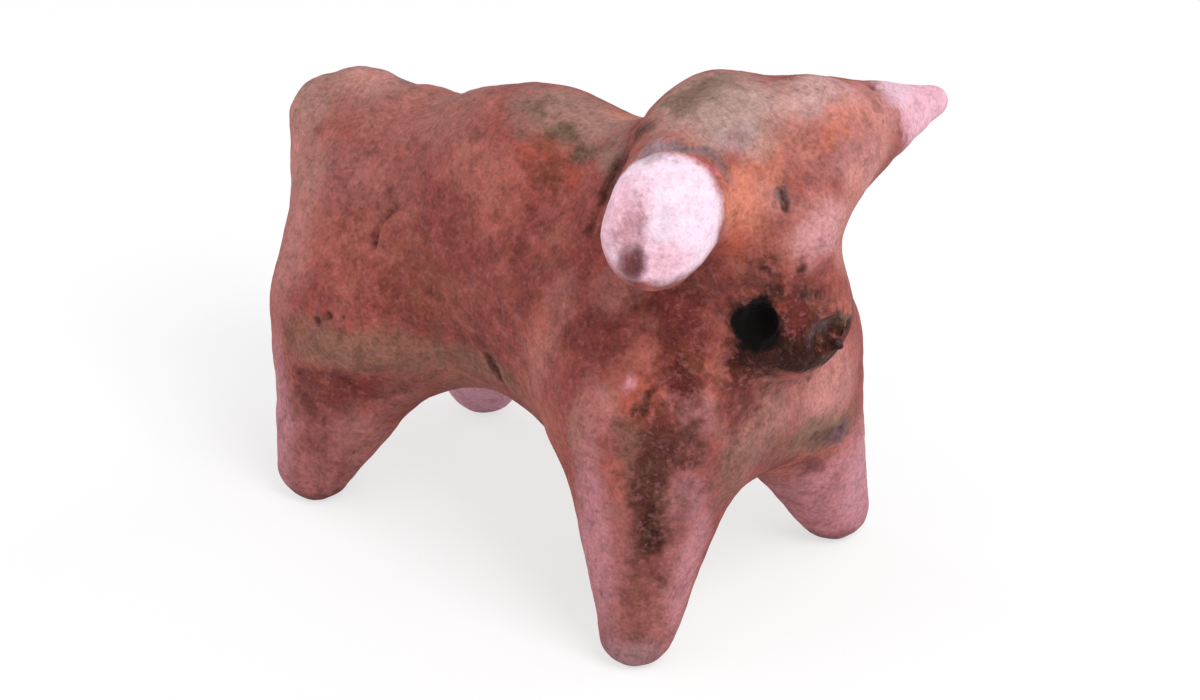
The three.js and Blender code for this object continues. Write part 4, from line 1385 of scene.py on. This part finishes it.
@dataclass(frozen=True)
class Hand:
    """How a hand leaves the clay: waves of unevenness, tool marks, and seams that sink where lumps meet."""

    marks: tuple[Mark, ...]
    pressings: tuple[Pressing, ...]
    waves: tuple[tuple[float, float], ...] = ((14.0, 0.35), (6.0, 0.2), (2.6, 0.1), (1.1, 0.045))
    thin_lip: float = 0.004
    seam_depth: float = 0.012
    seam_run: float = 2.0
    lip_margin: float = 0.02

    def heights(self, points: Array) -> Array:
        """How far the skin stands out from the smooth form: the waves' noise, less the marks.

        Args:
            points: Points in rows, in mm.

        Returns:
            Their heights, in mm.
        """
        height = np.zeros(len(points))
        for seed, (size, amount) in enumerate(self.waves):
            height += amount * solid_noise(points, size, seed)
        for mark in self.marks:
            height -= mark.sunk(points)
        return height

    def lump_field(self, whole: Field, lump: Lump) -> tuple[Field, Callable[[Array], Array]]:
        """One lump's own field, and a test of which of its exits are open skin.

        The lump is the part of the whole form within the reach of its own shape. Its skin sinks a little
        over the last stretch before that reach, so that it slips under the lumps before it.

        Args:
            whole: The form with this lump on it.
            lump: The lump.

        Returns:
            The lump's field, and a function from points to whether they lie on its open skin.
        """
        own = lump.shape()
        reach = lump.smear - 2 * math.sqrt(lump.smear * self.thin_lip)

        def shape(points: Array) -> Array:
            """Distances to the lump, as it is seen and buried.

            Args:
                points: Points in rows, in mm.

            Returns:
                Their distances, in mm.
            """
            near = own(points)
            sunk = self.seam_depth * smoothstep(reach - self.seam_run, reach, near)
            return np.maximum(whole(points) + sunk, near - reach)

        def is_open(points: Array) -> Array:
            """Whether the form, and not the reach, bounds the lump there."""
            return own(points) < reach - self.lip_margin

        return shape, is_open


@dataclass(frozen=True)
class Skin:
    """A grid of points over a lump: rings by turns, closed by a point at each end."""

    points: Array
    heights: Array
    normals: Array
    around: int

    def mesh(self, name: str) -> bpy.types.Object:
        """A closed mesh, quads between rings and triangles to the two poles, shaded by its own normals.

        Vertex 1 + ring * around + turn is a grid point. Faces are whole arrays of vertex numbers.

        Args:
            name: The object's name.

        Returns:
            The new object, at the origin, with its heights in the attribute relief.
        """
        rings = (len(self.points) - 2) // self.around
        turn = np.arange(self.around)
        after = (turn + 1) % self.around
        row = 1 + np.arange(rings - 1)[:, None] * self.around
        quads = np.stack([row + turn, row + after, row + self.around + after, row + self.around + turn], -1)
        last_row = 1 + (rings - 1) * self.around
        first = np.stack([np.zeros_like(turn), 1 + after, 1 + turn], -1)
        last = np.stack([last_row + turn, last_row + after, np.full_like(turn, len(self.points) - 1)], -1)
        corners = np.concatenate([first.ravel(), quads.ravel(), last.ravel()]).astype(np.int32)
        totals = np.full((rings + 1) * self.around, 4)
        totals[: self.around] = totals[-self.around :] = 3
        starts = np.concatenate([[0], np.cumsum(totals)[:-1]]).astype(np.int32)
        mesh = bpy.data.meshes.new(name)
        mesh.vertices.add(len(self.points))
        mesh.vertices.foreach_set("co", ((self.points - LAYOUT_MIDDLE) * MM).astype(np.float32).ravel())
        mesh.loops.add(len(corners))
        mesh.loops.foreach_set("vertex_index", corners)
        mesh.polygons.add(len(totals))
        mesh.polygons.foreach_set("loop_start", starts)
        mesh.polygons.foreach_set("use_smooth", np.ones(len(totals), bool))
        relief = mesh.attributes.new("relief", "FLOAT", "POINT")
        relief.data.foreach_set("value", self.heights.astype(np.float32))
        mesh.update(calc_edges=True)
        mesh.validate()
        mesh.normals_split_custom_set_from_vertices(self.normals)
        return put(name, mesh)


class Modeller:
    """Lays the skins of the lumps over the whole form, and works them as the hand does."""

    buried_share: ClassVar[float] = 0.12
    lip_strides: ClassVar[int] = 24
    lip_halvings: ClassVar[int] = 6
    lip_windows: ClassVar[int] = 12
    slope_step: ClassVar[float] = 0.12

    def __init__(self, lumps: list[Lump], hand: Hand) -> None:
        """Builds the whole form, lump by lump.

        Args:
            lumps: The lumps in the order in which they go on.
            hand: How the clay is worked.
        """
        self.lumps = lumps
        self.hand = hand
        self.forms: list[Field] = [lumps[0].shape()]
        for lump in lumps[1:]:
            self.forms.append(joined(self.forms[-1], lump.shape(), lump.smear))
        self.whole = self.pressed(self.forms[-1])

    def pressed(self, shape: Field) -> Field:
        """A shape with all the pits pressed in it.

        Args:
            shape: The shape's distance.

        Returns:
            The distance to what is left of it.
        """
        for tool in self.hand.pressings:
            shape = tool.cut(shape)
        return shape

    def lips(self, core: Core, shape: Field, is_open: Callable[[Array], Array], turns: Array) -> Array:
        """The share at which the open skin begins at each turn.

        Walks back from the far pole in even strides, halves the last stride, and evens the result out
        over neighbouring turns by a moving mean.

        Args:
            core: The lump's core.
            shape: The lump's field.
            is_open: Whether points lie on its open skin.
            turns: The turns, in radians.

        Returns:
            A share for each turn.
        """
        shares = np.linspace(1, 0, self.lip_strides + 1)
        grid_shares, grid_turns = np.meshgrid(shares, turns, indexing="ij")
        exits = leaves_at(shape, *core.rays(grid_shares, grid_turns))
        shut = ~is_open(exits).reshape(grid_shares.shape)
        first_shut = np.where(shut.any(0), shut.argmax(0), self.lip_strides)
        high = shares[np.maximum(first_shut - 1, 0)]
        low = shares[first_shut]
        for _ in range(self.lip_halvings):
            middle = (high + low) / 2
            seen = is_open(leaves_at(shape, *core.rays(middle, turns)))
            high, low = np.where(seen, middle, high), np.where(seen, low, middle)
        window = max(len(turns) // self.lip_windows, 1)
        spread = np.concatenate([high[-window:], high, high[:window]])
        return np.convolve(spread, np.ones(2 * window + 1) / (2 * window + 1), mode="valid")

    def slopes(self, points: Array) -> Array:
        """Unit outward directions: the whole form's central differences along x, y and z.

        Args:
            points: Points in rows, in mm.

        Returns:
            A direction for each point.
        """
        steps = self.slope_step * np.eye(3)
        slope = np.stack([self.whole(points + step) - self.whole(points - step) for step in steps], -1)
        return slope / np.maximum(np.linalg.norm(slope, axis=-1, keepdims=True), TINY)

    def tilted(self, points: Array, heights: Array, slopes: Array) -> Array:
        """The slopes as the hand tilts them.

        Each is the smooth form's slope less the rise of the heights along the skin, so that lumps that
        meet are shaded alike.

        Args:
            points: Points on the smooth form.
            heights: How far the skin stands out there.
            slopes: The smooth form's slopes there.

        Returns:
            The worked skin's unit normals.
        """
        steps = self.slope_step * np.eye(3)
        ahead = np.stack([self.hand.heights(points + step) for step in steps], -1)
        rise = (ahead - heights[:, None]) / self.slope_step
        normals = slopes - rise + (rise * slopes).sum(-1, keepdims=True) * slopes
        return normals / np.linalg.norm(normals, axis=-1, keepdims=True)

    def skin(self, index: int) -> Skin:
        """The worked skin of one lump.

        Shares run evenly over the buried root up to the lip, and evenly from there to the far pole.

        Args:
            index: Which lump.

        Returns:
            Its skin in the layout.
        """
        lump = self.lumps[index]
        core = lump.core()
        around, rings = round(lump.around * GRID_SHARE), round(lump.rings * GRID_SHARE)
        turns = np.arange(around) * 2 * math.pi / around
        form = self.pressed(self.forms[index])
        if index == 0:
            shape, lips, buried = form, np.zeros(around), 0
        else:
            shape, is_open = self.hand.lump_field(form, lump)
            lips, buried = self.lips(core, shape, is_open, turns), round(rings * self.buried_share)
        ring = np.arange(1, rings + 1)[:, None]
        root = lips * ring / max(buried, 1)
        seen = lips + (1 - lips) * (ring - buried) / (rings + 1 - buried)
        shares = np.where(ring <= buried, root, seen)
        shares = np.concatenate([[0.0], shares.ravel(), [1.0]])
        grid_turns = np.concatenate([[0.0], np.tile(turns, rings), [0.0]])
        points = leaves_at(shape, *core.rays(shares, grid_turns))
        heights, slopes = self.hand.heights(points), self.slopes(points)
        worked = points + heights[:, None] * slopes
        worked[:, 2] = np.maximum(worked[:, 2], 0)
        return Skin(worked, heights, self.tilted(points, heights, slopes), around)


Value: TypeAlias = "Wire | float | tuple[float, ...]"


class Wire:
    """A value, vector or colour on its way through a material's nodes.

    Arithmetic on it adds Math nodes, in either order, so 1 - mask and mask * 0.5 both work.
    """

    def __init__(self, bench: "Bench", socket: bpy.types.NodeSocket) -> None:
        """Wraps a socket.

        Args:
            bench: Where new nodes are added.
            socket: The output that carries the value.
        """
        self.bench = bench
        self.socket = socket

    def __add__(self, other: Value) -> "Wire":
        """The sum of two values."""
        return self.bench.math("ADD", self, other)

    __radd__ = __add__

    def __sub__(self, other: Value) -> "Wire":
        """This value less another."""
        return self.bench.math("SUBTRACT", self, other)

    def __rsub__(self, other: Value) -> "Wire":
        """Another value less this one."""
        return self.bench.math("SUBTRACT", other, self)

    def __mul__(self, other: Value) -> "Wire":
        """The product of two values."""
        return self.bench.math("MULTIPLY", self, other)

    __rmul__ = __mul__


@dataclass(frozen=True)
class Noise:
    """A layer of fractal noise, from 0 to 1: its cells in mm, and how many octaves finer it goes.

    The roughness is the share of its height that each octave hands on to the next one.
    """

    size: float
    detail: float
    roughness: float = 0.6


class Bench:
    """Lays out the nodes of one material."""

    def __init__(self, name: str) -> None:
        """Starts an empty material.

        Args:
            name: The material's name.
        """
        self.material = bpy.data.materials.new(name)
        self.material.use_nodes = True
        self.tree = self.material.node_tree
        self.tree.nodes.clear()

    def node(
        self,
        kind: str,
        settings: dict[str, Any] | None = None,
        inputs: dict[int | str, Value] | None = None,
        output: int | str = 0,
    ) -> Wire:
        """Adds any node.

        Args:
            kind: The node's type, such as ShaderNodeTexNoise.
            settings: Its own options, set first.
            inputs: A link or a constant for each socket, by name or number.
            output: Which of its outputs is wanted.

        Returns:
            That output.
        """
        node = self.tree.nodes.new(kind)
        for key, option in (settings or {}).items():
            setattr(node, key, option)
        for key, given in (inputs or {}).items():
            if isinstance(given, Wire):
                self.tree.links.new(given.socket, node.inputs[key])
            else:
                node.inputs[key].default_value = given
        return Wire(self, node.outputs[output])

    def finish(self, shader: Wire) -> bpy.types.Material:
        """Links the finished shader to the material's surface.

        Args:
            shader: The shader.

        Returns:
            The material.
        """
        end = self.tree.nodes.new("ShaderNodeOutputMaterial")
        self.tree.links.new(shader.socket, end.inputs["Surface"])
        return self.material

    def math(self, operation: str, first: Value, second: Value = 0.0) -> Wire:
        """A Math node on one or two values."""
        return self.node("ShaderNodeMath", {"operation": operation}, {0: first, 1: second})

    def vector(self, operation: str, first: Value, second: Value = (0.0, 0.0, 0.0)) -> Wire:
        """A Vector Math node on two vectors or colours."""
        return self.node("ShaderNodeVectorMath", {"operation": operation}, {0: first, 1: second})

    def scaled(self, vector: Wire, share: Value) -> Wire:
        """A vector or colour made longer or lighter by a factor."""
        return self.node("ShaderNodeVectorMath", {"operation": "SCALE"}, {"Vector": vector, "Scale": share})

    def length(self, vector: Wire) -> Wire:
        """The length of a vector."""
        return self.node("ShaderNodeVectorMath", {"operation": "LENGTH"}, {0: vector}, "Value")

    def mix(self, share: Value, first: Value, second: Value) -> Wire:
        """The colour first where the share is 0 and second where it is 1."""
        return self.node("ShaderNodeMix", {"data_type": "RGBA"}, {0: share, 6: first, 7: second}, 2)

    def rise(self, value: Value, low: float, high: float, top: float = 1.0) -> Wire:
        """A smooth step from 0 where the value is low to the top where it is high."""
        inputs = {"Value": value, "From Min": low, "From Max": high, "To Max": top}
        return self.node("ShaderNodeMapRange", {"interpolation_type": "SMOOTHSTEP"}, inputs)

    def noise(self, place: Wire, layer: Noise, output: int | str = 0) -> Wire:
        """A layer of noise over a place in mm."""
        sizes = {"Scale": 1 / layer.size, "Detail": layer.detail, "Roughness": layer.roughness}
        return self.node("ShaderNodeTexNoise", None, {"Vector": place, **sizes}, output)

    def layout_place(self) -> Wire:
        """The place on the object in the maker's layout, in mm.

        Returns:
            The place, as a vector.
        """
        place = self.node("ShaderNodeTexCoord", output="Object")
        inputs = {"Vector": place, "Location": LAYOUT_MIDDLE, "Scale": (1 / MM, 1 / MM, 1 / MM)}
        return self.node("ShaderNodeMapping", None, inputs)


@dataclass(frozen=True)
class Fleck:
    """Small spots of a tone, where a noise rises or falls from where they start to where they are full."""

    tone: Tone
    start: float
    full: float
    strength: float


@dataclass(frozen=True)
class FiredClay:
    """A finish of fired clay: body colours, fire stains with painted light and shade among them, and grain.

    The wander moves the ragged stains by up to half its reach. Flecks and blotches fade out where the colour
    under them is black, and get weaker, by the share calm, as it gets paler.
    """

    slot: str
    roughness: float
    body: Tone = Tone.BRICK
    second_body: Tone = Tone.WARM_BRICK
    body_share: tuple[float, float] = (0.38, 0.62)
    clouds: Noise = Noise(13.0, 3.0)
    mottle: Noise = Noise(2.4, 5.0)
    grain: Noise = Noise(0.55, 3.0)
    wander: Noise = Noise(5.0, 2.0)
    wander_reach: float = 4.0
    fray: float = 2.0
    calm: float = 0.55
    black_below: float = 0.05
    flecks: Noise = Noise(3.4, 5.0)
    large_flecks: tuple[Fleck, ...] = (
        Fleck(Tone.MAROON, 0.5, 0.68, 0.42),
        Fleck(Tone.OLIVE, 0.46, 0.3, 0.294),
    )
    specks: Noise = Noise(1.0, 4.0)
    small_flecks: tuple[Fleck, ...] = (
        Fleck(Tone.MAUVE, 0.5, 0.66, 0.4),
        Fleck(Tone.SOIL, 0.5, 0.34, 0.45),
    )
    lightness: float = 1.03
    mottle_light: float = 1.35
    grain_light: float = 1.3
    blotch_light: float = 1.1
    # Painted shade: the relief darkens the colour in dents and marks and lightens it where the skin stands
    # out.
    relief_shade: float = 0.12
    grain_height: float = 0.25
    mottle_height: float = 0.375
    uneven_roughness: float = 0.15
    specular: float = 0.1
    dust: float = 0.05
    dust_roughness: float = 0.5
    dust_tint: tuple[float, ...] = (1.0, 0.88, 0.9, 1.0)

    def stained(
        self, bench: Bench, stains: tuple[Stain, ...], place: Wire, warped: Wire, colour: Wire, broken: Wire
    ) -> Wire:
        """The colour with every stain laid over it in turn.

        A stain's mask is 1 inside its egg and 0 outside, with a smooth edge that the broken noise frays.

        Args:
            bench: The material's nodes.
            stains: The stains, from the lowest layer to the topmost.
            place: The place on the object, in mm.
            warped: The same place, moved a little by noise.
            colour: The colour under the stains.
            broken: Noise around 0 that frays the stains' edges.

        Returns:
            The colour over them.
        """
        for stain in stains:
            turn = tuple(stain.turn.to_euler())
            spot = place if stain.ragged < Stain.STILL else warped
            inputs = {"Vector": spot, "Location": stain.centre, "Rotation": turn, "Scale": stain.radii}
            away = bench.length(bench.node("ShaderNodeMapping", {"vector_type": "TEXTURE"}, inputs))
            inputs = {0: broken, 1: stain.ragged, 2: away}
            frayed = bench.node("ShaderNodeMath", {"operation": "MULTIPLY_ADD"}, inputs)
            mask = bench.rise(frayed, 1 + stain.soft, 1 - stain.soft, stain.strength)
            colour = bench.mix(mask, colour, stain.tone.linear)
        return colour

    def material(self, name: str, stains: tuple[Stain, ...]) -> bpy.types.Material:
        """The finish as a material on the object's own coordinates.

        Args:
            name: The material's name.
            stains: The stains in it, from the lowest layer to the topmost.

        Returns:
            The material.
        """
        bench = Bench(name)
        place = bench.layout_place()
        clouds = bench.noise(place, self.clouds)
        mottle = bench.noise(place, self.mottle)
        grain = bench.noise(place, self.grain)
        uneven = mottle - NOISE_MIDDLE
        wander = bench.vector("SUBTRACT", bench.noise(place, self.wander, "Color"), (NOISE_MIDDLE,) * 3)
        warped = bench.vector("ADD", place, bench.scaled(wander, self.wander_reach))
        body = bench.mix(bench.rise(clouds, *self.body_share), self.body.linear, self.second_body.linear)
        colour = self.stained(bench, stains, place, warped, body, uneven * self.fray)
        strong = bench.length(colour)
        lively = (1 - strong * self.calm) * bench.rise(strong, 0.0, self.black_below)
        for noise, kinds in ((self.flecks, self.large_flecks), (self.specks, self.small_flecks)):
            level = bench.noise(place, noise)
            for fleck in kinds:
                share = bench.rise(level, fleck.start, fleck.full, fleck.strength) * lively
                colour = bench.mix(share, colour, fleck.tone.linear)
        relief = bench.node("ShaderNodeAttribute", {"attribute_name": "relief"}, output="Fac")
        blotchy = uneven * self.mottle_light + (grain - NOISE_MIDDLE) * self.grain_light
        # Painted shade: the relief term darkens the colour in dents and marks and lightens it on raised skin;
        # the blotchy term is the clay's own mottle.
        light = self.lightness + blotchy * lively * self.blotch_light + relief * self.relief_shade
        height = grain * self.grain_height + mottle * self.mottle_height
        bump = {"Height": height, "Distance": MM, "Strength": 1.0}
        inputs = {
            "Base Color": bench.scaled(colour, light),
            "Roughness": self.roughness + uneven * self.uneven_roughness,
            "Normal": bench.node("ShaderNodeBump", None, bump),
            "Specular IOR Level": self.specular,
            "Sheen Weight": self.dust,
            "Sheen Roughness": self.dust_roughness,
            "Sheen Tint": self.dust_tint,
        }
        return bench.finish(bench.node("ShaderNodeBsdfPrincipled", None, inputs))


@dataclass(frozen=True)
class Lamp:
    """A square area lamp that looks at the middle of the object from an azimuth and an elevation."""

    name: str
    azimuth: float
    elevation: float
    power: float
    size: float
    distance: float = 0.8

    def build(self) -> None:
        """Hangs the lamp."""
        light = bpy.data.lights.new(self.name, "AREA")
        light.energy = self.power
        light.size = self.size
        lamp = put(self.name, light)
        back = view_from(self.azimuth, self.elevation)
        lamp.location = back * self.distance
        lamp.rotation_euler = back.to_track_quat("Z", "Y").to_euler()


def view_from(azimuth: float, elevation: float) -> Vector:
    """The unit direction from the object to a viewer.

    Args:
        azimuth: 0 looks along +Y, 90 along -X, in degrees.
        elevation: Height above the horizon, in degrees.

    Returns:
        The direction.
    """
    turn, rise = math.radians(azimuth), math.radians(elevation)
    return Vector((math.sin(turn) * math.cos(rise), -math.cos(turn) * math.cos(rise), math.sin(rise)))


@dataclass(frozen=True)
class Studio:
    """A white floor, soft plain light, and a camera where the photograph's stood."""

    azimuth: float = 41.5
    elevation: float = 27.8
    distance: float = 600.0
    target: Point = (37.5, 0.0, 29.3)
    lens: float = 131.4
    sensor: float = 36.0
    clip_start: float = 0.01
    floor_size: float = 6.0
    floor_white: float = 0.9
    floor_lift: float = 0.65
    sky: float = 0.5
    lamps: tuple[Lamp, ...] = (
        Lamp("key", 75.0, 50.0, 4.0, 0.4),
        Lamp("fill", -20.0, 30.0, 1.2, 0.6),
        Lamp("left rim", -80.0, 25.0, 1.6, 0.5),
        Lamp("right rim", 160.0, 25.0, 1.6, 0.5),
    )

    def build_camera(self) -> None:
        """The camera, looking at its target in the layout."""
        camera = bpy.data.cameras.new("camera")
        camera.lens = self.lens
        camera.sensor_width = self.sensor
        camera.clip_start = self.clip_start
        stand = put("camera", camera)
        back = view_from(self.azimuth, self.elevation)
        stand.location = (Vector(self.target) - Vector(LAYOUT_MIDDLE) + back * self.distance) * MM
        stand.rotation_euler = back.to_track_quat("Z", "Y").to_euler()
        bpy.context.scene.camera = stand

    def build_floor(self) -> None:
        """A wide square floor, partly glowing white where a ray comes straight from the camera."""
        half = self.floor_size / 2
        corners = [(-half, -half, 0.0), (half, -half, 0.0), (half, half, 0.0), (-half, half, 0.0)]
        mesh = bpy.data.meshes.new("floor")
        mesh.from_pydata(corners, [], [(0, 1, 2, 3)])
        bench = Bench("floor")
        white = (self.floor_white, self.floor_white, self.floor_white, 1.0)
        seen = bench.node("ShaderNodeLightPath", output="Is Camera Ray")
        matt = bench.node("ShaderNodeBsdfDiffuse", None, {"Color": white})
        glow = bench.node("ShaderNodeEmission", None, {"Color": WHITE, "Strength": 1.0})
        both = bench.node("ShaderNodeMixShader", None, {0: seen * self.floor_lift, 1: matt, 2: glow})
        mesh.materials.append(bench.finish(both))
        put("floor", mesh)

    def build_sky(self) -> None:
        """An even white sky, at full white only where it is seen."""
        world = bpy.data.worlds.new("studio")
        world.use_nodes = True
        nodes, links = world.node_tree.nodes, world.node_tree.links
        backdrop = nodes["Background"]
        path = nodes.new("ShaderNodeLightPath")
        strength = nodes.new("ShaderNodeMapRange")
        strength.inputs["To Min"].default_value = self.sky
        strength.inputs["To Max"].default_value = 1.0
        links.new(path.outputs["Is Camera Ray"], strength.inputs["Value"])
        backdrop.inputs["Color"].default_value = WHITE
        links.new(strength.outputs["Result"], backdrop.inputs["Strength"])
        bpy.context.scene.world = world

    def build(self) -> None:
        """Everything round the object."""
        self.build_camera()
        self.build_floor()
        self.build_sky()
        for lamp in self.lamps:
            lamp.build()
        bpy.context.scene.view_settings.view_transform = "Standard"
        LOG.info("studio: camera, floor, sky and %d lamps", len(self.lamps))


@dataclass(frozen=True)
class Cow:
    """The whole figurine: its lumps in the order in which they go on."""

    at: Skeleton = field(default_factory=Skeleton)

    def lumps(self) -> list[Lump]:
        """The twelve lumps, each smeared over the ones before it.

        Returns:
            The lumps, in the order in which they go on.
        """
        order: tuple[type[Lump], ...] = (
            Trunk, RightHindLeg, LeftHindLeg, RightForeLeg, LeftForeLeg, Hump,
            Neck, Head, Muzzle, RightHorn, LeftHorn, Tail,
        )
        return [kind(self.at) for kind in order]

    def build(self) -> None:
        """Makes and dresses every lump, and sets each on the one body in place of its CAD node."""
        lumps = self.lumps()
        pressings = tuple(tool for lump in lumps for tool in lump.pressings())
        marks = tuple(mark for lump in lumps for mark in lump.marks)
        stains = tuple(stain for lump in lumps for stain in lump.stains)
        modeller = Modeller(lumps, Hand(marks, pressings))
        finishes = FiredClay("clay", 0.88), FiredClay("dark_clay", 0.86), FiredClay("worn_horn_clay", 0.9)
        clays = {finish.slot: finish for finish in finishes}
        slots = {row["node"]: row["material_slot"] for row in frame["record"]["subparts"]}
        for index, lump in enumerate(lumps):
            skin = modeller.skin(index)
            lump.dress(lump.build(skin), skin, clays[slots[lump.node]], stains)


def main() -> None:
    """Builds the studio and the cow."""
    logging.basicConfig(level=logging.INFO, format="%(name)s: %(message)s")
    Studio().build()
    Cow().build()


if __name__ == "__main__":
    main()
